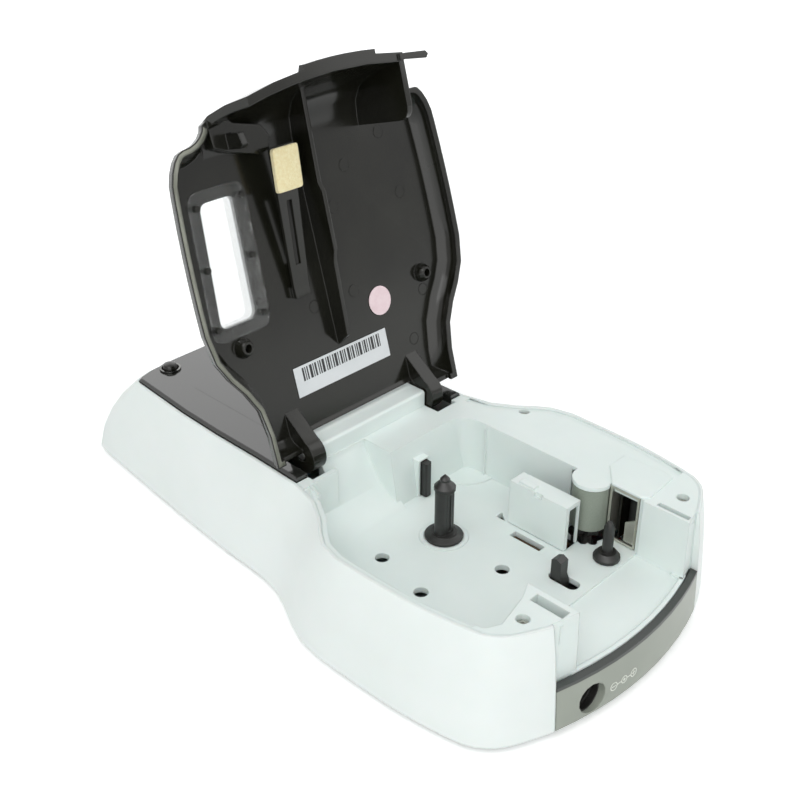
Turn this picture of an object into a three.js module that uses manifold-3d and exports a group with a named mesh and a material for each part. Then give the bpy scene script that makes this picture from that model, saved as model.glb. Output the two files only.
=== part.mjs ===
// Handheld label printer with its cassette cover swung open.
// Millimetres, +Z up, +Y towards the label exit, +X towards the user's right.
// The origin lies on the table under the middle of the body.

import * as THREE from 'three';
import { mergeVertices } from 'three/addons/utils/BufferGeometryUtils.js';
import Module from 'manifold-3d';

const wasm = await Module();
wasm.setup();

// Driving dimensions

const gap = 0.3;          // clearance between neighbouring pieces
const sharpestMitre = 0.4;
const overrun = 4;        // how far a cutting solid runs past what it cuts
const curveSteps = 5;     // points on each curve of an outline
const roundSides = 14;    // sides of a small round
const fineSides = 24;     // sides of a large round
const flatness = 0.01;    // slivers and flat joints below this are merged
const tightWeld = 1e-4;   // corners closer than this are one
const looseWeld = 5e-3;
const degree = Math.PI / 180;

const body = {
  front: 111,             // how far the front edge reaches
  length: 230.5,
  headHalfWidth: 61,
  waistHalfWidth: 48.2,
  gripHalfWidth: 41,
  endDepth: 16,           // length of the grip's rounded end
  waistBack: -6,          // where the grip starts to flare, at table level
  waistFront: 37,
  waistEase: 18,
  taperY: 66,             // the head narrows towards the front from here
  taperDraw: 0.6,         // by this much less than the head at each place
  shoulderY: 90,
  shoulderDraw: 4.2,
  noseY: 102,
  noseDraw: 16.4,
  stripY: 105.8,          // ends of the front strip
  stripDraw: 26,
};
body.back = body.front - body.length;
body.taperHalfWidth = body.headHalfWidth - body.taperDraw;
body.shoulderHalfWidth = body.headHalfWidth - body.shoulderDraw;
body.noseHalfWidth = body.headHalfWidth - body.noseDraw;
body.stripHalfWidth = body.headHalfWidth - body.stripDraw;

const shell = {
  bottom: 1,
  rim: 38.4,              // height of the deck
  wall: 2.3,
  floor: 2.2,
  bottomRound: 1.6,
  endShoulder: 2.8,       // how far the rim is drawn in at the end of the grip
  gripShoulder: 9.8,
  headShoulder: 5.4,
  frontShoulder: 3,
  rimWidth: 0.9,
  rimDepth: 6.2,
  endLean: 25.5,          // the grip's end leans in by this much at the rim
  endLeanReach: 70,
  waistLeanBack: 10,      // the flare starts this much further forward at the rim
  waistLeanFront: 3,
};
shell.height = shell.rim - shell.bottom;
shell.floorTop = shell.bottom + shell.floor;

// Height, bottom round, shoulder and lean of each level of the shell, as shares of those sizes
const shellProfileShares = [
  [0, 1, 0, 0],
  [0.05, 0, 0.02, 0.02],
  [0.24, 0, 0.14, 0.12],
  [0.5, 0, 0.34, 0.36],
  [0.75, 0, 0.58, 0.66],
  [1, 0, 1, 1],
];

const deck = {
  thickness: 2.4,
  top: shell.rim,
  ledgeWidth: 2.4,        // the lower step that the cover's skirt comes down on
  ledgeDrop: 0.7,
};
deck.bottom = deck.top - deck.thickness;

const bay = {
  floor: 18.2,
  floorThickness: 2,
  wall: 1.8,
  rim: 1.6,               // wall left beside the body's outline
  farX: -29.3,
  backY: 13.2,
  backSlope: 3,           // how far the back wall leans into the bay at the floor
  cornerRound: 8,
  pocketX: 5.5,           // the pocket under the hinge block starts here
  pocketBack: 0.9,
  throatNearX: 26,
  throatFarX: -28.5,
  throatY: 87,
  blockNearX: 44,
  blockNearY: 91.9,
  blockBend: 5.8,
  postX: 37.2,
  postY: 14.2,
  shelfDrop: 0.6,
  shelfHeight: 0.5,       // low quarter-round step in the far back corner
  shelfRadius: 13,
  ribY: 24.3,
  ribTop: 37.1,
  ribDepth: 0.7,
  lipWidth: 1.4,
  lipHeight: 0.5,
};
bay.underside = bay.floor - bay.floorThickness;

const strip = {
  thickness: 2.2,
  bottom: 1.5,
  top: 17.8,
};

const hinge = {
  y: -2.3,
  z: 41.6,
  openAngle: 105.8,
  blockHalfWidth: 24.2,
  blockBack: -15,
  blockFront: 0.3,
  blockTop: 44.1,
  blockRound: 1,
  blockWall: 2,
  slotHalfWidth: 33.4,
  slotBack: -12,
  slotFront: 6.5,
  knuckleRadius: 6,
  knuckleInner: 24.7,
  knuckleOuter: 30,
  pinRadius: 1.5,
  pinLength: 10.5,
};
hinge.bore = hinge.pinRadius + gap;

const panel = {
  top: 39.7,
  thickness: 2.2,
  edgeRound: 0.8,
  earFront: 4.2,
  glassHalfWidth: 24,
  glassBackShare: 0.488,
  glassFrontShare: 0.05,
  glassThickness: 1,
  glassCorner: 3,
  wall: 1.6,
};

const powerButton = {
  x: 22.6,
  share: 0.644,
  radius: 2.9,
  ringRadius: 3.9,
  ringHeight: 0.6,
  domeHeight: 2.2,
  stemLength: 4,
  flange: 0.7,
};

const cover = {
  skirtBottom: 38.9,
  wall: 2,
  inside: 45,             // inner face of the plate when the cover is closed
  top: 47.4,
  edgeRound: 9.2,         // how far the outside is drawn in from the rim to the top
  insideRound: 3.6,
  halfWidth: 55.1,
  rearHalfWidth: 41.4,
  rearY: -1.6,
  rearNotchY: 2.7,
  waistBack: 9,
  waistFront: 46,
  waistEase: 18,
  taperHalfWidth: 53.2,
  taperY: 86,
  cornerHalfWidth: 46.5,
  cornerY: 98.4,
  noseHalfWidth: 38.2,
  noseY: 103.6,
  noseFront: 111.8,
};

const nose = {
  startY: 93,
  lipY: 113,
  lipZ: 21,
  nearX: 36.4,
  farX: -27,
  arcDrop: 4.2,           // how far the lip falls back at the near end
  wall: 2.4,
  backY: 90.6,
  backRound: 4.5,
  nearLean: 2.4,          // the near end leans in by this much down to the lip
  gripNear: 12,
  gripFar: -16,
  gripProud: 1.3,
  gripHeight: 2.2,
  tabLength: 10,
  tabHeight: 1.6,
  tabDepth: 2.2,
};

const fin = {
  x: 2.2,
  thickness: 1.4,
  backY: 25.5,
  frontY: 107,
};

const latch = {
  nearX: 29.6,
  nearWidth: 3.4,
  farX: -30.6,
  farWidth: 1.8,
  slotBack: 91,
  slotFront: 102,
  slotDepth: 8,
  wall: 1.2,
  hookShare: 0.62,        // hook width over slot width
  hookBack: 95,
  hookFront: 99.5,
  hookReach: 9,
  blockInner: 15.3,
  blockOuter: 36,
  blockBack: 91.3,
  blockFront: 104.2,
  blockReach: 2,
};

const windowPane = {
  backY: 40.6,
  frontY: 85.6,
  innerXBack: 27.2,
  outerXBack: 48.8,
  innerXFront: 25.4,
  outerXFront: 45.6,
  corner: 4.5,
  border: 3.8,
  thickness: 1.2,
  studRadius: 1,
  studHeight: 0.7,
};

const tongue = {
  x: 14,
  rootY: 45.6,
  bendY: 49,
  frontY: 92.6,
  rise: 5.6,
  rootHalfWidth: 3,
  tipHalfWidth: 4.4,
  thickness: 1.2,
  slotHalfWidth: 1,
  slotBack: 56,
  slotFront: 76,
  foamHalfWidth: 5,
  foamLength: 13.4,
  foamThickness: 2,
};

const sticker = {
  xLow: -17.8,
  xHigh: 23.1,
  yLow: 14.3,
  yHigh: 24.1,
  thickness: 0.2,
  dotX: -18.3,
  dotY: 33.6,
  dotRadius: 4.9,
};

const coverBoss = {
  x: 39.3,
  y: 37,
  radius: 3.2,
  bore: 1.3,
  height: 3.2,
};

const spindle = {
  x: 6.3,
  y: 37.6,
  flangeRadius: 6.2,
  flangeHeight: 1.5,
  collarRadius: 4.2,
  bodyTop: 36.4,
  lobeHalfWidth: 3.5,
  lobeHalfDepth: 2,
  tipZ: 42,
  shaftRadius: 1.5,
  ringRadius: 8,
  ringHeight: 0.3,
};

const platen = {
  y: 68.3,
  radius: 6,
  proud: 6.8,             // how far the roller stands out of the bay's far wall
  bottom: 21.6,
  top: 36.8,
  shaftRadius: 1.5,
  couplingRadius: 5.4,
  couplingHeight: 2,
  couplingTeeth: 10,
  collarRadius: 6.4,
  pitScallop: 1.7,        // scallops round the floor opening under the roller
  windowBack: 60,
  windowFront: 76,
};
platen.x = bay.farX + platen.proud - platen.radius;

const gearing = {
  module: 0.8,
  backlash: 0.12,
  thickness: 2.6,
  bottom: 7.2,
  plateBottom: 11,
  plateThickness: 1,
  plateMargin: 6,
  pinRadius: 1.2,
  platenTeeth: 18,
  spindleTeeth: 22,
  firstIdlerTeeth: 22,
  pinionTeeth: 10,
  idlerAngle: 259,        // direction from the platen to the first idler, degrees
  motorAngle: 192,        // direction from the first idler to the motor, degrees
  shaftEnd: 5.2,
};
gearing.top = gearing.bottom + gearing.thickness;
gearing.plateTop = gearing.plateBottom + gearing.plateThickness;

const motor = {
  radius: 7.6,
  flat: 6.2,
  height: 19,
  bossRadius: 2.6,
  bossHeight: 0.7,
  shaftRadius: 0.8,
};

const head = {
  nearX: -13.6,
  backY: 47.5,
  frontY: 70,
  top: 34.6,
  wall: 1.5,
  returnX: -20.4,
  endInset: 4.6,          // the parts inside stop this far short of the open end
  frameWidth: 0.8,
  chamfer: 2,
  sinkThickness: 3,
  sinkBack: 51.5,
  elementThickness: 1.6,
  elementBottom: 19.6,
  elementTop: 32.2,
  nip: 1.5,               // space between the open head and the roller
  slotX: -10.2,
  slotWidth: 3,
  slotBack: 52.3,
  slotFront: 64.2,
  armThickness: 1.2,
  armBottom: 13.2,
};

const lever = {
  x: -2.7,
  y: 76.4,
  postHalfWidth: 1.8,
  postTop: 25.9,
  slotBack: 73.4,
  slotFront: 83.8,
  slotHalfWidth: 2.3,
  baseHalfWidth: 3.6,
  baseBack: 70.5,
  baseFront: 82,
  baseThickness: 1.5,
};

const detent = {
  x: -6.4,
  halfWidth: 1.4,
  backY: 15.6,
  frontY: 19.3,
  travel: 1.5,
  top: 31.4,
  chamfer: 0.5,
  frameHalfWidth: 2.5,
  frameFront: 16.9,
  frameTop: 32.2,
};

const guide = {
  x: -20.4,
  y: 81.4,
  baseRadius: 4.3,
  coneRadius: 3,
  postRadius: 1.7,
  baseHeight: 1,
  coneHeight: 1.6,
  top: 32,
};

const cutter = {
  backY: 74.7,
  frontY: 85.4,
  sheet: 0.6,
  flangeDepth: 8,
  top: 38,
  windowBack: 75.5,
  windowFront: 84.7,
  windowBottom: 19.3,
  windowTop: 37.2,
  carriageFront: 83.6,
  carriageDepth: 7,
  carriageSet: 4.2,
  bladeY: 78.6,
  bladeThickness: 0.5,
  bladeProud: 3.8,
  rodHalfWidth: 2,
  rodZ: 29,
  buttonY: 80.2,
  buttonHalfLength: 6.6,
  buttonHalfHeight: 4.8,
  buttonProud: 2.4,
  buttonDepth: 6,
  clipBack: 81.6,
  clipFront: 85.2,
  clipBottom: 20.6,
  clipTop: 30,
  clipThickness: 0.5,
};

const jack = {
  x: 22.5,
  z: 8.2,
  radius: 4.6,
  bore: 3.1,
  depth: 9,
  blockDepth: 5,
  blockHalfWidth: 4.7,
  pinRadius: 1,
  recess: 2.4,
};

const battery = {
  halfWidth: 25,
  backShare: 0.756,
  frontShare: 0.297,
  height: 11,
  corner: 3,
  doorHalfWidth: 25.6,
  doorFrontShare: 0.22,
  doorThickness: 2,
  roofThickness: 1.5,
  ribCount: 5,
  ribPitch: 2.4,
  ribWidth: 1.1,
  ribHeight: 0.6,
  ribLength: 16,
};

const board = {
  halfWidth: 28.2,
  backShare: 0.66,
  frontShare: 0.048,
  bottom: 22.4,
  thickness: 1.6,
  chipHeight: 1.4,
  displayBottom: 30.5,
};

const foot = {
  radius: 4,
  headX: 42,
  headY: 82,
  gripX: 31,
  gripShare: 0.411,
  height: 1.6,
};

const screw = {
  deckX: 38.6,
  deckY: 94.6,
  sideX: -45.2,
  sideY: 27.5,
  headRadius: 1.7,
  headHeight: 1.3,
  sink: 1.4,
  shankRadius: 0.9,
  shankLength: 9,
  bossRadius: 2.4,
  caseX: 31.1,
  caseShare: 0.622,
};
screw.hole = screw.headRadius + gap;

// A place along the grip, from the hinge block at 0 to the end at 1
function alongGrip(share) {
  return THREE.MathUtils.lerp(hinge.blockBack, body.back, share);
}

battery.back = alongGrip(battery.backShare);
battery.front = alongGrip(battery.frontShare);
battery.doorFront = alongGrip(battery.doorFrontShare);
board.back = alongGrip(board.backShare);
board.front = alongGrip(board.frontShare);
screw.caseY = alongGrip(screw.caseShare);
foot.gripY = alongGrip(foot.gripShare);
panel.glassBack = alongGrip(panel.glassBackShare);
panel.glassFront = alongGrip(panel.glassFrontShare);
powerButton.y = alongGrip(powerButton.share);

const latchSlots = [{ x: latch.nearX, width: latch.nearWidth }, { x: latch.farX, width: latch.farWidth }];

const colour = {
  shellWhite: 0xe9eeec, frameWhite: 0xe4ebea, black: 0x1b1c1a, panelBlack: 0x0e0f10, stripGrey: 0x5a5c57,
  rubber: 0xb9bfbd, steel: 0xb9bcbe, brass: 0xb08d4a, board: 0x1f5c38, foam: 0xd9b98a, label: 0xf2f2ee,
  pink: 0xe7a3b4, clear: 0xdfe9ee, ceramic: 0x6f7f8a, darkRubber: 0x2b2c2d, battery: 0x24384f, gearWhite: 0xe8e6dc,
};

// Geometry helpers

// Merges corners that share a place and leaves out the triangles that this closes
function welded(geometry, tolerance) {
  const bare = new THREE.BufferGeometry();
  bare.setAttribute('position', geometry.getAttribute('position').clone());
  if (geometry.index) bare.setIndex(geometry.index.clone());
  const merged = mergeVertices(bare, tolerance);
  const corners = [];
  const index = merged.index.array;
  for (let i = 0; i < index.length; i += 3) {
    const [a, b, c] = [index[i], index[i + 1], index[i + 2]];
    if (a !== b && b !== c && c !== a) corners.push(a, b, c);
  }
  merged.setIndex(corners);
  return merged;
}

function solidFrom(geometry) {
  const merged = welded(geometry, tightWeld);
  return new wasm.Manifold(new wasm.Mesh({
    numProp: 3,
    vertProperties: new Float32Array(merged.getAttribute('position').array),
    triVerts: new Uint32Array(merged.index.array),
  }));
}

function geometryFrom(solid) {
  const data = solid.simplify(flatness).getMesh();
  const raw = new THREE.BufferGeometry();
  raw.setAttribute('position', new THREE.BufferAttribute(new Float32Array(data.vertProperties), 3));
  raw.setIndex(new THREE.BufferAttribute(new Uint32Array(data.triVerts), 1));
  const geometry = welded(raw, looseWeld);
  geometry.computeVertexNormals();
  return geometry;
}

function join(first, ...others) {
  return others.reduce((whole, piece) => whole.add(piece), first);
}

function cut(first, ...others) {
  return others.reduce((whole, piece) => whole.subtract(piece), first);
}

function box([x0, x1], [y0, y1], [z0, z1]) {
  const geometry = new THREE.BoxGeometry(x1 - x0, y1 - y0, z1 - z0);
  geometry.translate((x0 + x1) / 2, (y0 + y1) / 2, (z0 + z1) / 2);
  return solidFrom(geometry);
}

function prism(points, [z0, z1], holes = []) {
  const shape = new THREE.Shape(points);
  for (const hole of holes) shape.holes.push(new THREE.Path(hole));
  const geometry = new THREE.ExtrudeGeometry(shape, { depth: z1 - z0, bevelEnabled: false });
  geometry.translate(0, 0, z0);
  return solidFrom(geometry);
}

// A profile of (y, z) points run along X
function prismAlongX(points, [x0, x1]) {
  const geometry = new THREE.ExtrudeGeometry(new THREE.Shape(points), { depth: x1 - x0, bevelEnabled: false });
  const turn = new THREE.Matrix4().makeBasis(
    new THREE.Vector3(0, 1, 0), new THREE.Vector3(0, 0, 1), new THREE.Vector3(1, 0, 0));
  geometry.applyMatrix4(turn);
  geometry.translate(x0, 0, 0);
  return solidFrom(geometry);
}

function post(x, y, radius, [z0, z1], sides = roundSides) {
  const geometry = new THREE.CylinderGeometry(radius, radius, z1 - z0, sides);
  geometry.rotateX(Math.PI / 2);
  geometry.translate(x, y, (z0 + z1) / 2);
  return solidFrom(geometry);
}

function rodAlongX([x0, x1], y, z, radius, sides = roundSides) {
  const geometry = new THREE.CylinderGeometry(radius, radius, x1 - x0, sides);
  geometry.rotateZ(-Math.PI / 2);
  geometry.translate((x0 + x1) / 2, y, z);
  return solidFrom(geometry);
}

function rodAlongY(x, [y0, y1], z, radius, sides = roundSides) {
  const geometry = new THREE.CylinderGeometry(radius, radius, y1 - y0, sides);
  geometry.translate(x, (y0 + y1) / 2, z);
  return solidFrom(geometry);
}

// A profile of [radius, height] pairs turned about a vertical axis
function turned(x, y, profile, sides = roundSides) {
  const points = profile.map(([radius, z]) => new THREE.Vector2(radius, z));
  const geometry = new THREE.LatheGeometry(points, sides);
  geometry.rotateX(Math.PI / 2);
  geometry.translate(x, y, 0);
  const solid = solidFrom(geometry);
  return solid;
}

// A skin through rings of equal point count, closed at both ends
function loft(rings) {
  const count = rings[0].length;
  const positions = rings.flat().flatMap((point) => [point.x, point.y, point.z]);
  const index = [];
  for (let level = 0; level + 1 < rings.length; level += 1) {
    for (let i = 0; i < count; i += 1) {
      const a = level * count + i;
      const b = level * count + (i + 1) % count;
      index.push(a, b, b + count, a, b + count, a + count);
    }
  }
  const flat = rings[0].map((point) => new THREE.Vector2(point.x, point.y));
  const upright = rings[0].every((point) => Math.abs(point.z - rings[0][0].z) < 1e-9);
  const capPlane = upright ? flat : rings[0].map((point) => new THREE.Vector2(point.y, point.z));
  const last = (rings.length - 1) * count;
  for (const [a, b, c] of THREE.ShapeUtils.triangulateShape(capPlane, [])) {
    index.push(a, c, b);
    index.push(last + a, last + b, last + c);
  }
  const geometry = new THREE.BufferGeometry();
  geometry.setAttribute('position', new THREE.Float32BufferAttribute(positions, 3));
  geometry.setIndex(index);
  return solidFrom(geometry);
}

function smooth(value, low, high) {
  return THREE.MathUtils.smoothstep(value, low, high);
}

function mirrored(half) {
  const other = half.slice(1, -1).reverse().map((point) => new THREE.Vector2(-point.x, point.y));
  return [...half, ...other];
}

// Moves an anticlockwise outline inwards; the distance may depend on the point
function inset(points, distance) {
  const amount = typeof distance === 'function' ? distance : () => distance;
  const inward = (from, to) => new THREE.Vector2(from.y - to.y, to.x - from.x).normalize();
  return points.map((point, i) => {
    const before = inward(points[(i + points.length - 1) % points.length], point);
    const after = inward(point, points[(i + 1) % points.length]);
    const step = amount(point) / Math.max(sharpestMitre, 1 + before.dot(after));
    return new THREE.Vector2(point.x + (before.x + after.x) * step, point.y + (before.y + after.y) * step);
  });
}

function atHeight(points, z) {
  return points.map((point) => new THREE.Vector3(point.x, point.y, z));
}

function roundedRectangle([x0, x1], [y0, y1], radius) {
  const shape = new THREE.Path();
  shape.moveTo(x0 + radius, y0);
  shape.lineTo(x1 - radius, y0);
  shape.absarc(x1 - radius, y0 + radius, radius, -Math.PI / 2, 0);
  shape.absarc(x1 - radius, y1 - radius, radius, 0, Math.PI / 2);
  shape.absarc(x0 + radius, y1 - radius, radius, Math.PI / 2, Math.PI);
  shape.absarc(x0 + radius, y0 + radius, radius, Math.PI, 1.5 * Math.PI);
  return shape.getPoints(3).slice(0, -1);
}

// Outlines of the body and the cover

function bodyOutline(leanShare) {
  const end = body.back + body.endDepth;
  const waistBack = body.waistBack + shell.waistLeanBack * leanShare;
  const waistFront = body.waistFront + shell.waistLeanFront * leanShare;
  const flare = body.waistHalfWidth - body.gripHalfWidth;
  const path = new THREE.Path();
  path.moveTo(0, body.back);
  path.bezierCurveTo(
    body.gripHalfWidth * 0.84, body.back, body.gripHalfWidth, body.back + body.endDepth * 0.3,
    body.gripHalfWidth, end);
  path.bezierCurveTo(
    body.gripHalfWidth + flare * 0.4, end + (waistBack - end) / 3,
    body.waistHalfWidth, waistBack - (waistBack - body.back) / 4, body.waistHalfWidth, waistBack);
  path.bezierCurveTo(
    body.waistHalfWidth, waistBack + body.waistEase, body.headHalfWidth, waistFront - body.waistEase,
    body.headHalfWidth, waistFront);
  path.quadraticCurveTo(
    body.headHalfWidth, (waistFront + body.taperY) / 2, body.taperHalfWidth, body.taperY);
  path.quadraticCurveTo(
    (body.taperHalfWidth + body.shoulderHalfWidth) / 2 + (body.taperHalfWidth - body.shoulderHalfWidth) / 4,
    (body.taperY + body.shoulderY) / 2, body.shoulderHalfWidth, body.shoulderY);
  path.quadraticCurveTo(
    body.shoulderHalfWidth - (body.shoulderHalfWidth - body.noseHalfWidth) / 4,
    body.shoulderY + (body.noseY - body.shoulderY) * 0.7, body.noseHalfWidth, body.noseY);
  path.quadraticCurveTo(
    (body.noseHalfWidth + body.stripHalfWidth) / 2, body.noseY + (body.stripY - body.noseY) * 0.62,
    body.stripHalfWidth, body.stripY);
  path.quadraticCurveTo(body.stripHalfWidth / 2, body.front, 0, body.front);
  const half = path.getPoints(curveSteps);
  const leaning = half.map((point) => {
    const weight = Math.max(0, 1 - (point.y - body.back) / shell.endLeanReach);
    return new THREE.Vector2(point.x, point.y + shell.endLean * leanShare * weight);
  });
  return mirrored(leaning);
}

function shoulderAt(y) {
  const stations = [
    [body.back, shell.endShoulder], [body.waistBack + shell.waistLeanFront, shell.gripShoulder],
    [body.waistFront, shell.headShoulder], [body.shoulderY, shell.headShoulder],
    [body.stripY, shell.frontShoulder], [body.front, shell.frontShoulder],
  ];
  const place = THREE.MathUtils.clamp(y, body.back, body.front);
  const next = Math.max(1, stations.findIndex(([end]) => end >= place));
  const [low, high] = [stations[next - 1], stations[next]];
  return THREE.MathUtils.mapLinear(place, low[0], high[0], low[1], high[1]);
}

// The body's outline at any height, moved in by a further distance
function section(z, further = 0) {
  const share = THREE.MathUtils.clamp((z - shell.bottom) / shell.height, 0, 1);
  let upper = shellProfileShares.findIndex((row) => row[0] >= share);
  upper = Math.max(1, upper);
  const low = shellProfileShares[upper - 1];
  const high = shellProfileShares[upper];
  const blend = (share - low[0]) / (high[0] - low[0]);
  const [, round, shoulder, lean] = low.map((value, i) => THREE.MathUtils.lerp(value, high[i], blend));
  return inset(bodyOutline(lean), (point) => (
    shell.bottomRound * round + shoulderAt(point.y) * shoulder + further));
}

function bodySolid(further = 0) {
  return loft(shellProfileShares.map(([share]) => {
    const z = shell.bottom + shell.height * share;
    return atHeight(section(z, further), z);
  }));
}

function topOutline(further) {
  return section(shell.rim, shell.rimWidth + further);
}

function coverOutline(further) {
  const path = new THREE.Path();
  path.moveTo(0, cover.rearY);
  path.lineTo(cover.rearHalfWidth, cover.rearY);
  path.lineTo(cover.rearHalfWidth, cover.waistBack);
  path.bezierCurveTo(
    cover.rearHalfWidth, cover.waistBack + cover.waistEase,
    cover.halfWidth, cover.waistFront - cover.waistEase, cover.halfWidth, cover.waistFront);
  path.quadraticCurveTo(
    cover.halfWidth, (cover.waistFront + cover.taperY) / 2, cover.taperHalfWidth, cover.taperY);
  path.bezierCurveTo(
    cover.taperHalfWidth, cover.taperY + (cover.cornerY - cover.taperY) / 2,
    cover.cornerHalfWidth + (cover.taperHalfWidth - cover.cornerHalfWidth) * 0.4, cover.cornerY,
    cover.cornerHalfWidth, cover.cornerY);
  path.bezierCurveTo(
    (cover.cornerHalfWidth + cover.noseHalfWidth) / 2, cover.cornerY,
    cover.noseHalfWidth, (cover.cornerY + cover.noseY) / 2,
    cover.noseHalfWidth, cover.noseY);
  path.quadraticCurveTo(cover.noseHalfWidth * 0.7, cover.noseFront, 0, cover.noseFront);
  return inset(mirrored(path.getPoints(curveSteps)), further);
}

// Lower shell, with the battery's compartment and the screw bosses

const deckScrewPlaces = [
  [screw.deckX, screw.deckY], [-screw.deckX, screw.deckY], [screw.sideX, screw.sideY],
];
const caseScrewPlaces = [[screw.caseX, screw.caseY], [-screw.caseX, screw.caseY]];
const screwSeat = deck.top - screw.sink - screw.headHeight - gap;
const bossTop = deck.bottom - gap;
const footPlaces = [
  [foot.headX, foot.headY], [-foot.headX, foot.headY], [foot.gripX, foot.gripY], [-foot.gripX, foot.gripY],
];

function batteryDoorRegion(clearance) {
  return box(
    [-battery.doorHalfWidth - clearance, battery.doorHalfWidth + clearance],
    [-body.length, battery.doorFront + clearance],
    [0, shell.bottom + battery.doorThickness + clearance]);
}

function lowerShell() {
  const cavityTop = shell.rim - shell.rimDepth;
  const levels = [shell.floorTop, (shell.floorTop + cavityTop) / 2, cavityTop];
  const cavity = loft(levels.map((z) => atHeight(section(z, shell.wall), z)));
  const opening = prism(topOutline(0), [cavityTop - gap, shell.rim + overrun]);
  const compartmentWall = box(
    [-battery.halfWidth - shell.wall, battery.halfWidth + shell.wall],
    [battery.back - shell.wall, battery.front + shell.wall],
    [shell.bottom, shell.floorTop + battery.height + gap + battery.roofThickness]);
  const compartment = box(
    [-battery.halfWidth - gap, battery.halfWidth + gap],
    [battery.back - gap, battery.front + gap],
    [0, shell.floorTop + battery.height + gap]);
  let solid = cut(bodySolid(), cavity, opening);
  solid = join(solid, compartmentWall);
  for (const [x, y] of deckScrewPlaces) {
    solid = join(solid, post(x, y, screw.bossRadius, [shell.bottom + shell.floor / 2, screwSeat - deck.thickness]));
  }
  for (const [x, y] of deckScrewPlaces) {
    const bottom = screwSeat - screw.shankLength - gap;
    solid = cut(solid, post(x, y, screw.shankRadius + gap, [bottom, shell.rim]));
  }
  for (const [x, y] of caseScrewPlaces) {
    solid = cut(solid,
      post(x, y, screw.hole, [0, shell.bottom + screw.headHeight + gap]),
      post(x, y, screw.shankRadius + gap, [0, shell.floorTop + overrun]));
  }
  for (const [x, y] of footPlaces) {
    solid = cut(solid, post(x, y, foot.radius + gap, [0, foot.height + gap]));
  }
  const front = box(
    [-body.stripHalfWidth - gap, body.stripHalfWidth + gap],
    [body.noseY - overrun * 2, body.length],
    [strip.bottom - gap, shell.rim + overrun]);
  const frontFloor = prism(section(strip.top, strip.thickness + gap), [0, shell.floorTop]);
  solid = cut(solid, cut(front, frontFloor), compartment, batteryDoorRegion(gap), cutterButtonHole());
  return solid;
}

function batteryDoor() {
  let solid = bodySolid(gap / 3).intersect(batteryDoorRegion(0));
  const ribsFront = battery.doorFront - overrun;
  for (let i = 0; i < battery.ribCount; i += 1) {
    const y = ribsFront - i * battery.ribPitch;
    solid = cut(solid, box(
      [-battery.ribLength / 2, battery.ribLength / 2], [y - battery.ribWidth, y],
      [0, shell.bottom + battery.ribHeight]));
  }
  return solid;
}

function batteryPack() {
  const outline = roundedRectangle(
    [-battery.halfWidth, battery.halfWidth], [battery.back, battery.front], battery.corner);
  const bottom = shell.floorTop + gap;
  return prism(outline, [bottom, bottom + battery.height - gap]);
}

function rubberFoot([x, y]) {
  return turned(x, y, [
    [0, 0], [foot.radius - foot.height / 2, 0], [foot.radius, foot.height / 2], [foot.radius, foot.height],
    [0, foot.height],
  ]);
}

function screwAt([x, y], seat, direction) {
  const headEnd = seat + direction * screw.headHeight;
  const tip = seat - direction * screw.shankLength;
  const ends = (a, b) => [Math.min(a, b), Math.max(a, b)];
  const socketFloor = headEnd - direction * screw.headHeight / 2;
  const socket = post(x, y, screw.shankRadius, ends(socketFloor, headEnd + direction), 6);
  const whole = join(
    post(x, y, screw.headRadius, ends(seat, headEnd), roundSides / 2),
    post(x, y, screw.shankRadius, ends(tip, seat), roundSides / 2));
  return cut(whole, socket);
}

// Front strip and power inlet

function frontStrip() {
  const block = box(
    [-body.stripHalfWidth, body.stripHalfWidth], [body.noseY - overrun, body.length], [strip.bottom, strip.top]);
  const inner = prism(section(strip.top, strip.thickness), [0, shell.rim]);
  const hole = rodAlongY(jack.x, [body.noseY - overrun, body.length], jack.z, jack.radius + gap);
  return cut(bodySolid().intersect(block), inner, hole);
}

function stripFaceAt(x) {
  const share = Math.abs(x) / body.stripHalfWidth;
  return body.front - (body.front - body.stripY) * share * share;
}

const jackFront = stripFaceAt(jack.x + jack.radius) - jack.recess - gap;

function jackSocket() {
  const back = jackFront - jack.depth;
  const barrel = rodAlongY(jack.x, [back, jackFront], jack.z, jack.radius);
  const block = box(
    [jack.x - jack.blockHalfWidth, jack.x + jack.blockHalfWidth],
    [back - jack.blockDepth, back + gap],
    [shell.floorTop + gap, jack.z + jack.radius]);
  const bore = rodAlongY(jack.x, [back, jackFront + overrun], jack.z, jack.bore);
  return cut(join(barrel, block), bore);
}

function jackPin() {
  const back = jackFront - jack.depth + gap;
  return rodAlongY(jack.x, [back, jackFront - jack.recess], jack.z, jack.pinRadius, roundSides / 2);
}

// Bay frame: deck, cassette bay, hinge block and front lip

function bayPlan() {
  const far = body.headHalfWidth + overrun;
  const corner = new THREE.Path();
  corner.absarc(bay.farX + bay.cornerRound, bay.backY + bay.cornerRound, bay.cornerRound, Math.PI, 1.5 * Math.PI);
  return [
    ...corner.getPoints(curveSteps),
    new THREE.Vector2(bay.pocketX, bay.backY),
    new THREE.Vector2(bay.pocketX, bay.pocketBack),
    new THREE.Vector2(hinge.blockHalfWidth, bay.pocketBack),
    new THREE.Vector2(hinge.blockHalfWidth, hinge.slotFront + bay.wall),
    new THREE.Vector2(hinge.slotHalfWidth + bay.wall, hinge.slotFront + bay.wall),
    new THREE.Vector2(bay.postX, bay.postY),
    new THREE.Vector2(far, bay.postY),
    new THREE.Vector2(far, bay.blockNearY - bay.blockBend),
    new THREE.Vector2(bay.blockNearX + bay.blockBend, bay.blockNearY - bay.blockBend / 2),
    new THREE.Vector2(bay.blockNearX, bay.blockNearY),
    new THREE.Vector2(bay.throatNearX + bay.blockBend, bay.blockNearY - bay.blockBend / 2),
    new THREE.Vector2(bay.throatNearX, bay.blockNearY - bay.blockBend),
    new THREE.Vector2(bay.throatNearX, bay.throatY),
    new THREE.Vector2(bay.farX, bay.throatY),
  ];
}

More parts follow.
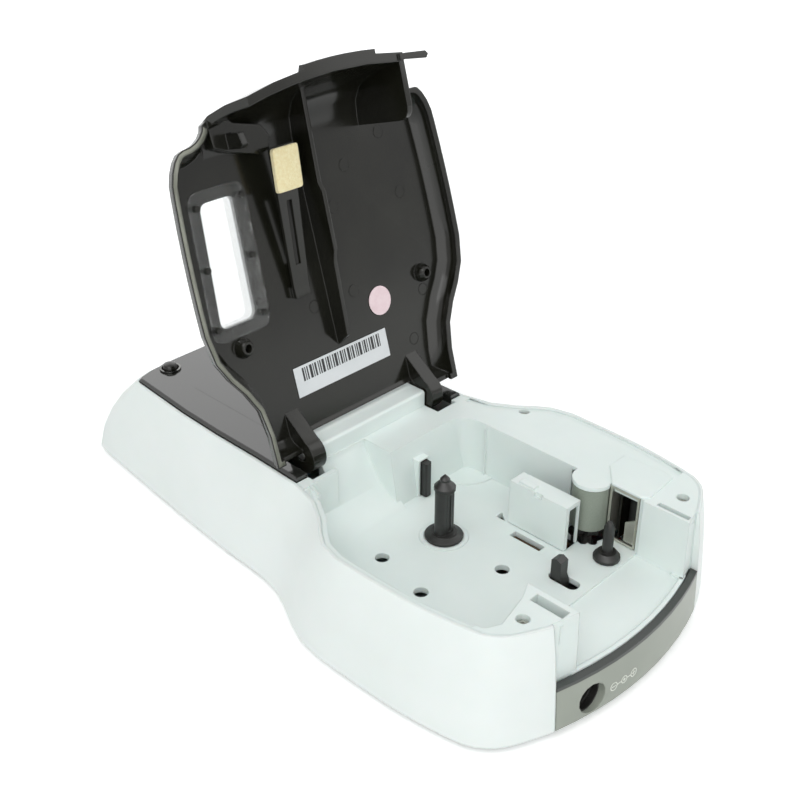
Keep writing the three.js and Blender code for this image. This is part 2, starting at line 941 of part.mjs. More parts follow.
function frontBlocks() {
  const levels = [
    atHeight(section(shell.bottom + shell.height / 2, strip.thickness + gap), strip.top + gap),
    atHeight(topOutline(gap), deck.top),
  ];
  const whole = loft(levels);
  const hollow = loft([
    atHeight(section(shell.bottom + shell.height / 2, strip.thickness + gap + bay.wall), strip.top),
    atHeight(topOutline(gap + bay.wall), deck.bottom),
  ]);
  const span = box(
    [-body.stripHalfWidth + gap, body.stripHalfWidth - gap],
    [bay.throatY, body.length],
    [strip.top + gap, deck.top]);
  const inner = box(
    [-body.stripHalfWidth + gap + bay.wall, body.stripHalfWidth - gap - bay.wall],
    [0, body.length],
    [0, deck.bottom]);
  const throatWalls = box(
    [bay.throatFarX - bay.wall, bay.throatNearX + bay.wall], [0, body.length], [0, deck.bottom]);
  return cut(whole.intersect(span), cut(hollow.intersect(inner), throatWalls));
}

function hingeBlockHollow() {
  const wall = hinge.blockWall;
  return box(
    [-hinge.blockHalfWidth + wall * 4, hinge.blockHalfWidth - wall * 4],
    [hinge.blockBack + wall, hinge.blockFront - wall],
    [deck.bottom - overrun, hinge.blockTop - wall]);
}

function hingeBlock() {
  const profile = new THREE.Path();
  profile.moveTo(hinge.blockBack, deck.bottom);
  profile.lineTo(hinge.blockFront, deck.bottom);
  profile.lineTo(hinge.blockFront, hinge.blockTop - hinge.blockRound);
  profile.absarc(hinge.blockFront - hinge.blockRound, hinge.blockTop - hinge.blockRound, hinge.blockRound, 0, Math.PI / 2);
  profile.lineTo(hinge.blockBack, hinge.blockTop);
  return prismAlongX(profile.getPoints(4), [-hinge.blockHalfWidth, hinge.blockHalfWidth]);
}

function bayFrame() {
  const outline = topOutline(gap);
  const plan = bayPlan();
  const reach = body.headHalfWidth + overrun;
  const deckRegion = join(
    box([-reach, reach], [panel.earFront + gap, body.length], [bay.underside, deck.top]),
    box([-hinge.blockHalfWidth, hinge.blockHalfWidth], [hinge.blockBack, body.length], [bay.underside, deck.top]));
  const slots = [-1, 1].map((side) => box(
    side > 0 ? [hinge.blockHalfWidth, hinge.slotHalfWidth] : [-hinge.slotHalfWidth, -hinge.blockHalfWidth],
    [hinge.slotBack, hinge.slotFront], [0, shell.rim + overrun]));
  const footprint = prism(outline, [bay.underside, deck.top]).intersect(deckRegion);
  const plate = footprint.intersect(box([-reach, reach], [-body.length, body.length], [deck.bottom, deck.top]));
  const basin = footprint.intersect(prism(inset(plan, -bay.wall), [bay.underside, deck.top]));
  const shelfOutline = prism(section(bay.underside, strip.thickness + gap), [bay.underside, strip.top + bay.lipHeight]);
  const throat = box(
    [bay.throatFarX - bay.wall, bay.throatNearX + bay.wall], [bay.throatY - bay.wall, body.length],
    [bay.underside, strip.top + bay.lipHeight]);
  let solid = join(plate, basin, shelfOutline.intersect(throat), frontBlocks(), hingeBlock());

  const planVoid = prism(plan, [bay.floor, deck.top + overrun])
    .intersect(prism(topOutline(gap + bay.rim), [0, deck.top + overrun]));
  const throatVoid = box(
    [bay.throatFarX, bay.throatNearX], [bay.throatY - gap, body.length], [bay.floor - bay.shelfDrop, deck.top + overrun]);
  const lip = shelfOutline.intersect(throat).intersect(box(
    [bay.throatFarX, bay.throatNearX], [bay.throatY, body.length], [bay.underside, strip.top + bay.lipHeight]));
  const lipInner = prism(section(bay.underside, strip.thickness + gap + bay.lipWidth), [0, deck.top]);
  solid = join(cut(solid, planVoid, throatVoid), cut(lip, lipInner));
  solid = join(solid, rampUnderHinge().intersect(prism(outline, [bay.underside, deck.top])));
  solid = join(solid, bayFurniture());
  const ledge = prism(outline, [deck.top - deck.ledgeDrop, deck.top + overrun], [inset(outline, deck.ledgeWidth)])
    .intersect(box([-reach, reach], [hinge.slotFront + bay.wall, bay.throatY], [0, deck.top + overrun]));
  const bossRoom = deckScrewPlaces.map(([x, y]) => (
    post(x, y, screw.bossRadius + gap, [0, screwSeat - deck.thickness + gap])));
  const seats = deckScrewPlaces.map(([x, y]) => (
    post(x, y, screw.bossRadius, [screwSeat - deck.thickness + gap, deck.bottom + gap])));
  solid = join(cut(solid, ledge, hingeBlockHollow(), ...bossRoom), ...seats);
  return cut(solid, ...slots, ...frameHoles());
}

// Sloped faces at the back of the bay
function rampUnderHinge() {
  const wallFoot = bay.backY + bay.backSlope;
  const low = new THREE.Vector2(wallFoot + bay.backSlope, bay.floor);
  const middle = new THREE.Vector2((wallFoot + bay.pocketBack) / 2, bay.floor + (deck.top - bay.floor) * 0.3);
  const top = new THREE.Vector2(bay.pocketBack, deck.bottom);
  const under = new THREE.Vector2(bay.pocketBack, bay.underside);
  const start = new THREE.Vector2(wallFoot + bay.backSlope, bay.underside);
  const pocket = prismAlongX([under, start, low, middle, top], [bay.pocketX - bay.wall, bay.postX]);
  const backWall = prismAlongX([
    new THREE.Vector2(bay.backY, bay.underside),
    new THREE.Vector2(wallFoot, bay.underside),
    new THREE.Vector2(wallFoot, bay.floor),
    new THREE.Vector2(bay.backY, deck.top - deck.ledgeDrop),
  ], [bay.farX, bay.pocketX]);
  return join(pocket, backWall);
}

function bayFurniture() {
  const cornerShelf = post(bay.farX, bay.backY + bay.backSlope / 2, bay.shelfRadius,
    [bay.underside, bay.floor + bay.shelfHeight], fineSides)
    .intersect(box([bay.farX, 0], [bay.backY, body.length], [bay.underside, deck.top]));
  const rib = box(
    [bay.farX - gap, bay.farX + bay.ribDepth], [bay.ribY - bay.ribDepth / 2, bay.ribY + bay.ribDepth / 2],
    [bay.underside, bay.ribTop]);
  const ring = cut(
    post(spindle.x, spindle.y, spindle.ringRadius, [bay.underside, bay.floor + spindle.ringHeight], fineSides),
    post(spindle.x, spindle.y, spindle.flangeRadius + gap, [bay.floor - overrun, bay.floor + overrun], fineSides));
  const ringBase = post(spindle.x, spindle.y, spindle.ringRadius, [bay.underside, bay.floor], fineSides);
  const collar = post(platen.x, platen.y, platen.collarRadius, [platen.top + gap, deck.top], fineSides)
    .intersect(box([bay.farX - bay.wall, 0], [0, body.length], [0, deck.top]));
  const boss = box(
    [detent.x - detent.frameHalfWidth, detent.x + detent.frameHalfWidth], [bay.backY, detent.frameFront],
    [bay.underside, detent.frameTop]);
  const plateBosses = platePosts.map(([x, y]) => post(x, y, screw.bossRadius,
    [gearing.plateTop + gap, bay.floor - gap], roundSides / 2));
  const slotTop = deck.bottom + gap;
  const cups = latchSlots.map(({ x, width }) => {
    const half = width / 2 + latch.wall;
    return box([x - half, x + half], [latch.slotBack - latch.wall, latch.slotFront + latch.wall / 2],
      [deck.top - latch.slotDepth, slotTop]);
  });
  return join(cornerShelf, rib, ring, ringBase, collar, boss, ...plateBosses, ...cups);
}

function frameHoles() {
  const through = [bay.underside - overrun, bay.floor + overrun];
  const floorHoles = [[0.53, 0.36], [0.6, 0.59], [0.12, 0.71]].map(([xShare, yShare]) => (
    post(body.headHalfWidth * xShare * 0.86, bay.throatY * yShare, spindle.lobeHalfWidth * 0.66, through)));
  const deckHoles = deckScrewPlaces.flatMap(([x, y]) => [
    post(x, y, screw.hole, [screwSeat, deck.top + overrun]),
    post(x, y, screw.shankRadius + gap, [deck.bottom - overrun, deck.top + overrun]),
  ]);
  const slots = latchSlots.map(({ x, width }) => box(
    [x - width / 2, x + width / 2], [latch.slotBack, latch.slotFront],
    [deck.top - latch.slotDepth - gap, deck.top + overrun]));
  const spindleHole = post(spindle.x, spindle.y, spindle.shaftRadius + gap, through);
  const platenHole = post(platen.x, platen.y, platen.shaftRadius + gap, [bay.underside - overrun, platen.top + gap * 4]);
  const rollerRoom = post(platen.x, platen.y, platen.radius + gap * 2, [bay.floor, platen.top + gap], fineSides);
  const pit = post(platen.x, platen.y, platen.radius + gap * 2, through, fineSides);
  const scallops = [24, 50].map((direction) => post(
    platen.x + (platen.radius + gap * 2) * Math.cos(direction * degree),
    platen.y + (platen.radius + gap * 2) * Math.sin(direction * degree),
    platen.pitScallop, through, roundSides / 2));
  const rollerWindow = box(
    [bay.farX - bay.wall - gap, bay.farX + gap], [platen.windowBack, platen.windowFront - 1.4 * gap],
    [bay.floor, platen.top + gap]);
  const cutterWindow = join(
    box([bay.farX - cutter.flangeDepth - gap, bay.farX + gap], [cutter.backY - gap, cutter.frontY + gap],
      [bay.floor, deck.bottom - gap / 2]),
    box([bay.farX - cutter.sheet - gap, bay.farX + gap], [cutter.backY - gap, cutter.frontY + gap],
      [bay.floor, deck.top + overrun]));
  const leverSlot = prism(roundedRectangle(
    [lever.x - lever.slotHalfWidth, lever.x + lever.slotHalfWidth], [lever.slotBack, lever.slotFront],
    lever.slotHalfWidth * 0.9), through);
  const headOpening = box(
    [head.returnX - head.nip - gap, head.nearX - head.wall + gap], [head.backY + head.wall, head.frontY - gap], through);
  const headSlot = box(
    [head.slotX - head.slotWidth / 2, head.slotX + head.slotWidth / 2], [head.slotBack, head.slotFront], through);
  const detentSlot = box(
    [detent.x - detent.halfWidth - gap, detent.x + detent.halfWidth + gap],
    [detent.backY - detent.travel - gap, detent.frameFront + overrun], [bay.floor, detent.top + gap]);
  const pinBores = rodAlongX(
    [-hinge.blockHalfWidth - overrun, hinge.blockHalfWidth + overrun], hinge.y, hinge.z, hinge.bore);
  const inner = hinge.knuckleOuter - hinge.pinLength - gap;
  const pinCore = rodAlongX([-inner, inner], hinge.y, hinge.z, hinge.bore + gap);
  const triangleHole = prism([
    new THREE.Vector2(head.nearX, head.backY - gap * 4),
    new THREE.Vector2(head.nearX, head.backY - gap * 16),
    new THREE.Vector2(head.nearX - bay.backSlope, head.backY - gap * 16),
  ].reverse(), through);
  return [
    ...floorHoles, ...deckHoles, ...slots, spindleHole, platenHole, rollerRoom, pit, ...scallops, rollerWindow,
    cutterWindow,
    leverSlot, headOpening, headSlot, detentSlot, cut(pinBores, pinCore), triangleHole,
  ];
}

// Face panel with its glass and power button

function panelOutline(further) {
  return topOutline(gap + further);
}

function facePanel() {
  const bottom = panel.top - panel.thickness - panel.edgeRound;
  const whole = loft([
    atHeight(panelOutline(0), bottom),
    atHeight(panelOutline(0), panel.top - panel.edgeRound),
    atHeight(panelOutline(panel.edgeRound), panel.top),
  ]);
  const region = box([-body.headHalfWidth, body.headHalfWidth], [-body.length, panel.earFront], [0, panel.top + overrun]);
  const blockRoom = box(
    [-hinge.blockHalfWidth - gap, hinge.blockHalfWidth + gap], [hinge.blockBack - gap, body.length],
    [0, panel.top + overrun]);
  const slotRoom = box(
    [-hinge.slotHalfWidth, hinge.slotHalfWidth], [hinge.slotBack, body.length], [0, panel.top + overrun]);
  const glass = roundedRectangle(
    [-panel.glassHalfWidth, panel.glassHalfWidth], [panel.glassBack, panel.glassFront], panel.glassCorner);
  const recess = prism(inset(glass, -gap), [panel.top - panel.glassThickness - gap, panel.top + overrun]);
  const sight = prism(inset(glass, panel.wall * 1.5), [bottom - overrun, panel.top + overrun]);
  const buttonHole = post(powerButton.x, powerButton.y, powerButton.radius + gap, [bottom - overrun, panel.top + overrun]);
  const bosses = caseScrewPlaces.map(([x, y]) => cut(
    post(x, y, screw.bossRadius, [shell.floorTop + gap, bottom + gap]),
    post(x, y, screw.shankRadius + gap, [0, shell.floorTop + screw.shankLength + gap])));
  return join(cut(whole.intersect(region), blockRoom, slotRoom, recess, sight, buttonHole), ...bosses);
}

function touchGlass() {
  const outline = roundedRectangle(
    [-panel.glassHalfWidth, panel.glassHalfWidth], [panel.glassBack, panel.glassFront], panel.glassCorner);
  return prism(outline, [panel.top - panel.glassThickness, panel.top]);
}

function displayModule() {
  const edge = panel.wall * 1.5 + gap;
  const top = panel.top - panel.glassThickness - gap;
  return box(
    [-panel.glassHalfWidth + edge, panel.glassHalfWidth - edge],
    [panel.glassBack + edge, panel.glassFront - edge], [board.displayBottom, top]);
}

function buttonRing() {
  const bottom = panel.top + gap / 3;
  const ring = post(powerButton.x, powerButton.y, powerButton.ringRadius, [bottom, panel.top + powerButton.ringHeight]);
  return cut(ring, post(powerButton.x, powerButton.y, powerButton.radius + gap, [0, panel.top + overrun]));
}

function powerButtonCap() {
  const { x, y, radius } = powerButton;
  const shoulder = panel.top + powerButton.ringHeight;
  const flangeTop = panel.top - panel.thickness - panel.edgeRound - gap;
  const profile = [
    [0, flangeTop - powerButton.stemLength], [radius / 2, flangeTop - powerButton.stemLength],
    [radius / 2, flangeTop - powerButton.flange], [radius + powerButton.flange, flangeTop - powerButton.flange],
    [radius + powerButton.flange, flangeTop], [radius, flangeTop], [radius, shoulder],
  ];
  for (let i = 1; i <= curveSteps / 2; i += 1) {
    const angle = (Math.PI / 2) * (i / (curveSteps / 2));
    profile.push([radius * Math.cos(angle), shoulder + powerButton.domeHeight * Math.sin(angle)]);
  }
  profile[profile.length - 1][0] = 0;
  return turned(x, y, profile);
}

// Electronics

function mainBoard() {
  const outline = roundedRectangle([-board.halfWidth, board.halfWidth], [board.back, board.front], battery.corner);
  const top = board.bottom + board.thickness;
  const low = top - gap;
  const length = board.front - board.back;
  const places = [[-0.5, 0.25, 0.36, 0.16], [0.3, 0.3, 0.3, 0.12], [0.1, 0.62, 0.44, 0.14], [-0.55, 0.75, 0.24, 0.1]];
  const chips = places.map(([xShare, yShare, widthShare, depthShare]) => {
    const x = board.halfWidth * xShare;
    const y = board.back + length * yShare;
    const half = board.halfWidth * widthShare / 2;
    return box([x - half, x + half], [y, y + length * depthShare], [low, top + board.chipHeight]);
  });
  return join(prism(outline, [board.bottom, top]), ...chips);
}

// Gear train

const module = gearing.module;
const pitchRadius = (teeth) => teeth * module / 2;

function gearPlace(from, fromTeeth, teeth, angle) {
  const reach = pitchRadius(fromTeeth) + pitchRadius(teeth);
  return { x: from.x + reach * Math.cos(angle), y: from.y + reach * Math.sin(angle), teeth };
}

// Turns a gear so that its gap faces the tooth of the gear that drives it
function meshPhase(driver, gear) {
  const angle = Math.atan2(gear.y - driver.y, gear.x - driver.x);
  const driverPart = (driver.phase - angle) * driver.teeth / (2 * Math.PI);
  return angle + Math.PI + (0.5 - driverPart) * 2 * Math.PI / gear.teeth;
}

const platenGear = { x: platen.x, y: platen.y, teeth: gearing.platenTeeth, phase: 0 };
const firstIdler = gearPlace(platenGear, platenGear.teeth, gearing.firstIdlerTeeth, gearing.idlerAngle * degree);
firstIdler.phase = meshPhase(platenGear, firstIdler);
const pinion = gearPlace(firstIdler, firstIdler.teeth, gearing.pinionTeeth, gearing.motorAngle * degree);
pinion.phase = meshPhase(firstIdler, pinion);

// The second idler has as many teeth as it takes to span from the first to the spindle
const spindleGear = { x: spindle.x, y: spindle.y, teeth: gearing.spindleTeeth };
const span = Math.hypot(spindle.x - firstIdler.x, spindle.y - firstIdler.y);
const freeSpan = span - pitchRadius(firstIdler.teeth) - pitchRadius(spindleGear.teeth);
const secondIdler = { teeth: Math.max(gearing.pinionTeeth, Math.ceil(freeSpan / module)) };
const firstReach = pitchRadius(firstIdler.teeth + secondIdler.teeth);
const secondReach = pitchRadius(spindleGear.teeth + secondIdler.teeth);
const along = (span * span + firstReach * firstReach - secondReach * secondReach) / (2 * span);
const across = Math.sqrt(Math.max(0, firstReach * firstReach - along * along));
const spanAngle = Math.atan2(spindle.y - firstIdler.y, spindle.x - firstIdler.x);
secondIdler.x = firstIdler.x + along * Math.cos(spanAngle) + across * Math.sin(spanAngle);
secondIdler.y = firstIdler.y + along * Math.sin(spanAngle) - across * Math.cos(spanAngle);
secondIdler.phase = meshPhase(firstIdler, secondIdler);
spindleGear.phase = meshPhase(secondIdler, spindleGear);

const platePosts = [
  [spindle.x + gearing.plateMargin * 1.6, spindle.y - gearing.plateMargin],
  [bay.farX + gearing.plateMargin, platen.y + gearing.plateMargin * 1.6],
  [bay.farX + gearing.plateMargin, spindle.y],
];

function gearOutline(gear) {
  const pitch = pitchRadius(gear.teeth);
  const tip = pitch + module * 0.9;
  const root = pitch - module * 1.15;
  const quarter = Math.PI / (2 * gear.teeth);
  const slack = gearing.backlash / pitch;
  const points = [];
  for (let i = 0; i < gear.teeth; i += 1) {
    const centre = gear.phase + i * 2 * Math.PI / gear.teeth;
    const corners = [[-1.55, root], [-0.55, tip], [0.55, tip], [1.55, root]];
    for (const [quarters, radius] of corners) {
      const ease = Math.sign(quarters) * slack;
      const angle = centre + quarters * quarter - ease;
      points.push(new THREE.Vector2(gear.x + radius * Math.cos(angle), gear.y + radius * Math.sin(angle)));
    }
  }
  return points;
}

function gearWheel(gear, bore, hubRadius = 0, hubTop = gearing.top) {
  const wheel = prism(gearOutline(gear), [gearing.bottom, gearing.top]);
  const hub = hubRadius > 0
    ? post(gear.x, gear.y, hubRadius, [gearing.bottom, hubTop], roundSides / 2)
    : wheel;
  const joined = join(wheel, hub);
  return bore > 0
    ? cut(joined, post(gear.x, gear.y, bore, [gearing.bottom - overrun, hubTop + overrun], roundSides / 2))
    : joined;
}

function gearPlate() {
  const margin = gearing.plateMargin;
  const corners = [
    [pinion.x - margin, pinion.y + margin * 1.4], [pinion.x - margin, pinion.y - margin * 1.6],
    [spindle.x - margin, spindle.y - margin * 1.6], [spindle.x + margin * 2, spindle.y - margin * 1.6],
    [spindle.x + margin * 2, spindle.y + margin], [bay.farX + margin * 1.8, platen.y + margin * 2.2],
    [platen.x - margin, platen.y + margin * 2.2],
  ];
  const outline = corners.map(([x, y]) => new THREE.Vector2(x, y));
  let plate = prism(outline, [gearing.plateBottom, gearing.plateTop]);
  for (const gear of [firstIdler, secondIdler]) {
    plate = join(plate, post(gear.x, gear.y, gearing.pinRadius, [gearing.bottom, gearing.plateTop], roundSides / 2));
  }
  const shaftHoles = [platen, spindle].map((axis) => (
    post(axis.x, axis.y, axis.shaftRadius + gap, [0, gearing.plateTop + overrun])));
  return cut(plate, ...shaftHoles, post(pinion.x, pinion.y, motor.bossRadius + gap, [0, gearing.plateTop + overrun]));
}

function driveMotor() {
  const bottom = gearing.plateTop + gap;
  const can = post(pinion.x, pinion.y, motor.radius, [bottom, bottom + motor.height], fineSides)
    .intersect(box(
      [pinion.x - motor.flat, pinion.x + motor.flat], [pinion.y - motor.radius, pinion.y + motor.radius],
      [0, deck.top]));
  const boss = post(pinion.x, pinion.y, motor.bossRadius, [bottom - motor.bossHeight, bottom]);
  return join(can, boss);
}

function motorPinion() {
  const top = gearing.plateTop + gap - motor.bossHeight - gap;
  return join(
    prism(gearOutline(pinion), [gearing.bottom, gearing.top]),
    post(pinion.x, pinion.y, motor.shaftRadius, [gearing.bottom, top], roundSides / 2));
}

// Platen roller and ribbon spindle

function platenRoller() {
  const tube = post(platen.x, platen.y, platen.radius, [platen.bottom, platen.top], fineSides);
  return cut(tube, post(platen.x, platen.y, platen.shaftRadius + gap, [0, deck.top]));
}

function platenShaft() {
  return post(platen.x, platen.y, platen.shaftRadius, [gearing.shaftEnd, platen.top + gap * 3], roundSides);
}

function platenCoupling() {
  const top = platen.bottom - gap;
  const points = [];
  for (let i = 0; i < platen.couplingTeeth * 2; i += 1) {
    const angle = i * Math.PI / platen.couplingTeeth;
    const radius = i % 2 ? platen.couplingRadius * 0.84 : platen.couplingRadius;
    points.push(new THREE.Vector2(platen.x + radius * Math.cos(angle), platen.y + radius * Math.sin(angle)));
  }
  const disc = prism(points, [top - platen.couplingHeight, top]);
  return cut(disc, post(platen.x, platen.y, platen.shaftRadius + gap, [0, deck.top]));
}

function ribbonSpindle() {
  const { x, y } = spindle;
  const flangeBottom = bay.floor + gap;
  const flangeTop = flangeBottom + spindle.flangeHeight;
  const base = turned(x, y, [
    [0, flangeBottom], [spindle.flangeRadius, flangeBottom], [spindle.flangeRadius, flangeBottom + spindle.flangeHeight / 2],
    [spindle.collarRadius, flangeTop], [spindle.collarRadius, flangeTop + gap], [0, flangeTop + gap],
  ], fineSides);
  const lobe = (half, depth) => roundedRectangle([x - half, x + half], [y - depth, y + depth], depth * 0.9);
  const blade = prism(lobe(spindle.lobeHalfWidth, spindle.lobeHalfDepth), [flangeTop, spindle.bodyTop]);
  const core = post(x, y, spindle.lobeHalfDepth * 1.2, [flangeTop, spindle.bodyTop]);
  const groove = [-1, 1].map((side) => box(
    [x - gap * 2, x + gap * 2],
    side > 0 ? [y + spindle.lobeHalfDepth, y + spindle.lobeHalfWidth] : [y - spindle.lobeHalfWidth, y - spindle.lobeHalfDepth],
    [flangeTop + spindle.flangeHeight, spindle.bodyTop - spindle.flangeHeight]));
  const neck = spindle.bodyTop + (spindle.tipZ - spindle.bodyTop) * 0.2;
  const cap = turned(x, y, [
    [0, spindle.bodyTop], [spindle.lobeHalfWidth, spindle.bodyTop], [spindle.lobeHalfWidth, neck],
    [spindle.lobeHalfDepth * 0.8, neck + (spindle.tipZ - neck) * 0.45],
    [spindle.lobeHalfDepth * 0.8, neck + (spindle.tipZ - neck) * 0.6], [0, spindle.tipZ],
  ]);
  const shaft = post(x, y, spindle.shaftRadius, [gearing.shaftEnd, flangeBottom], roundSides);
  return cut(join(base, blade, core, cap, shaft), ...groove);
}

// Print head

function headCover() {
  const outline = [
    [head.nearX, head.backY], [head.nearX, head.frontY], [head.nearX - head.wall, head.frontY],
    [head.nearX - head.wall, head.backY + head.wall], [head.returnX, head.backY + head.wall],
    [head.returnX, head.backY],
  ].map(([x, y]) => new THREE.Vector2(x, y));
  const wall = prism(outline, [bay.floor + gap, head.top]);
  const roof = prism([
    new THREE.Vector2(head.nearX, head.backY),
    new THREE.Vector2(head.nearX, head.frontY),
    new THREE.Vector2(head.returnX, head.frontY),
    new THREE.Vector2(head.returnX, head.backY + head.chamfer),
    new THREE.Vector2(head.returnX + head.chamfer, head.backY),
  ], [head.top - head.wall, head.top]);
  const tab = box(
    [head.nearX - head.wall * 2, head.nearX - head.wall / 2],
    [head.backY + head.wall * 2, head.backY + head.wall * 6], [head.top - gap, head.top + head.wall / 2]);
  const frame = box(
    [head.returnX, head.returnX + head.frameWidth], [head.frontY - head.frameWidth, head.frontY],
    [bay.floor + gap, head.top - gap]);
  const notchPlace = (head.backY + head.frontY) / 2;
  const notch = box(
    [head.nearX - head.wall / 2, head.nearX + gap],
    [notchPlace - head.wall, notchPlace + head.wall], [head.top - head.wall, head.top + overrun]);
  return cut(join(wall, roof, tab, frame), notch);
}

function headSink() {
  const x1 = head.nearX - head.wall - gap;
  const x0 = x1 - head.sinkThickness;
  const slab = box(
    [x0, x1], [head.sinkBack, head.frontY - head.endInset], [bay.floor + gap * 2, head.top - head.wall - gap]);
  const pitch = head.sinkThickness * 0.7;
  const count = Math.floor((head.elementTop - head.elementBottom) / pitch) - 1;
  const grooves = Array.from({ length: count }, (_, i) => {
    const z = head.elementBottom + pitch * (i + 0.5);
    return box(
      [x1 - head.sinkThickness / 3, x1 + overrun], [head.sinkBack + head.wall, head.frontY + overrun],
      [z, z + pitch / 2]);
  });
  return cut(slab, ...grooves);
}

const headFace = bay.farX + platen.proud + head.nip;

function headElement() {
  const x0 = headFace;
  const x1 = head.nearX - head.wall - head.sinkThickness - gap * 2;
  return box(
    [x0, x1], [head.sinkBack + head.wall, head.frontY - head.endInset - gap * 4],
    [head.elementBottom, head.elementTop]);
}

function headArm() {
  const back = head.slotBack + gap * 4;
  const front = head.slotFront - gap;
  const near = head.slotX + head.slotWidth / 2 - gap;
  const low = box(
    [head.returnX + gap, near], [back, front], [head.armBottom, head.armBottom + head.armThickness]);
  const tab = box([near - head.armThickness, near], [back, front], [head.armBottom, bay.floor - gap * 2]);
  const carrier = box(
    [head.nearX - head.wall - gap - head.sinkThickness, head.nearX - head.wall - gap],
    [head.sinkBack + gap, head.frontY - gap * 4], [head.armBottom, bay.floor + gap]);
  return join(low, tab, carrier);
}

function headLever() {
  const half = lever.postHalfWidth;
  const bottom = head.armBottom;
  const base = box(
    [lever.x - lever.baseHalfWidth, lever.x + lever.baseHalfWidth], [lever.baseBack, lever.baseFront],
    [bottom, bottom + lever.baseThickness]);
  const profile = [
    new THREE.Vector2(lever.y - half, bottom), new THREE.Vector2(lever.y + half * 1.5, bottom),
    new THREE.Vector2(lever.y + half * 1.5, bay.floor - gap), new THREE.Vector2(lever.y + half, bay.floor + half),
    new THREE.Vector2(lever.y + half, lever.postTop - half / 2), new THREE.Vector2(lever.y, lever.postTop),
    new THREE.Vector2(lever.y - half, lever.postTop - half / 2),
  ];
  return join(base, prismAlongX(profile, [lever.x - half, lever.x + half]));
}

// Small fittings in the bay

function cassetteDetent() {
  const { x, halfWidth, backY, frontY, chamfer } = detent;
  return prism([
    new THREE.Vector2(x - halfWidth, backY), new THREE.Vector2(x + halfWidth, backY),
    new THREE.Vector2(x + halfWidth, frontY - chamfer), new THREE.Vector2(x + halfWidth - chamfer, frontY),
    new THREE.Vector2(x - halfWidth + chamfer, frontY), new THREE.Vector2(x - halfWidth, frontY - chamfer),
  ], [bay.floor + gap, detent.top]);
}

function guidePost() {
  const bottom = bay.floor + gap;
  const cone = bottom + guide.baseHeight;
  return turned(guide.x, guide.y, [
    [0, bottom], [guide.baseRadius, bottom], [guide.baseRadius, cone], [guide.coneRadius, cone + guide.coneHeight],
    [guide.postRadius, cone + guide.coneHeight], [guide.postRadius, guide.top - guide.postRadius],
    [guide.postRadius / 2, guide.top], [0, guide.top],
  ]);
}

// Cutter: a sheet-steel guide in the far wall and a sprung button that drives the blade

function cutterPlate() {
  const face = bay.farX;
  const bottom = bay.floor + gap;
  const front = box([face - cutter.sheet, face], [cutter.backY, cutter.frontY], [bottom, cutter.top]);
  const flanges = [cutter.backY, cutter.frontY - cutter.sheet].map((y) => box(
    [face - cutter.flangeDepth, face], [y, y + cutter.sheet], [bottom, deck.bottom - gap]));
  const opening = box(
    [face - overrun, face + overrun], [cutter.windowBack, cutter.windowFront], [cutter.windowBottom, cutter.windowTop]);
  return cut(join(front, ...flanges), opening);
}

function tapeClip() {
  const x0 = bay.farX + gap / 3;
  const fold = (cutter.clipTop - cutter.clipBottom) / 4;
  return prismAlongX([
    new THREE.Vector2(cutter.clipBack, cutter.clipBottom),
    new THREE.Vector2(cutter.clipFront, cutter.clipBottom),
    new THREE.Vector2(cutter.clipFront, cutter.clipTop),
    new THREE.Vector2(cutter.clipBack, cutter.clipTop - fold),
  ], [x0, x0 + cutter.clipThickness]);
}

const carriageFace = bay.farX - cutter.sheet - cutter.carriageSet;
const buttonOutline = () => roundedRectangle(
  [cutter.buttonY - cutter.buttonHalfLength, cutter.buttonY + cutter.buttonHalfLength],
  [cutter.rodZ - cutter.buttonHalfHeight, cutter.rodZ + cutter.buttonHalfHeight], cutter.buttonHalfHeight * 0.9);

function cutterButtonHole() {
  const outer = body.headHalfWidth + overrun;
  const inner = body.shoulderHalfWidth - cutter.buttonDepth * 2;
  return prismAlongX(inset(buttonOutline(), -gap), [-outer, -inner]);
}

function cutterSlide() {
  const carriage = box(
    [carriageFace - cutter.carriageDepth, carriageFace],
    [cutter.backY + cutter.sheet + gap, cutter.carriageFront], [bay.floor + gap * 4, deck.bottom - gap * 2]);
  const bladeSlot = box(
    [carriageFace - cutter.carriageDepth + cutter.sheet, carriageFace + overrun],
    [cutter.bladeY - gap, cutter.bladeY + cutter.bladeThickness + gap], [bay.floor, deck.top]);
  const rod = box(
    [-body.shoulderHalfWidth + gap, carriageFace - cutter.carriageDepth + gap],
    [cutter.buttonY - cutter.rodHalfWidth, cutter.buttonY + cutter.rodHalfWidth],
    [cutter.rodZ - cutter.rodHalfWidth, cutter.rodZ + cutter.rodHalfWidth]);
  return join(cut(carriage, bladeSlot), rod);
}

function cutterBlade() {
  const back = carriageFace - cutter.carriageDepth + cutter.sheet + gap;
  const bottom = cutter.windowBottom + gap;
  const top = deck.bottom - gap * 4;
  const edge = carriageFace + cutter.bladeProud;
  return prism([
    new THREE.Vector2(back, cutter.bladeY),
    new THREE.Vector2(edge, cutter.bladeY),
    new THREE.Vector2(edge - cutter.bladeThickness * 2, cutter.bladeY + cutter.bladeThickness),
    new THREE.Vector2(back, cutter.bladeY + cutter.bladeThickness),
  ], [bottom, top]);
}

function cutterButton() {
  const inner = -body.shoulderHalfWidth - gap;
  const cap = prismAlongX(buttonOutline(), [-body.headHalfWidth - overrun, inner]);
  return cap.intersect(bodySolid(-cutter.buttonProud));
}

// Cover, drawn closed in the body's frame

function lipAt(x) {
  return nose.lipY - nose.arcDrop * (x / nose.nearX) * (x / nose.nearX);
}

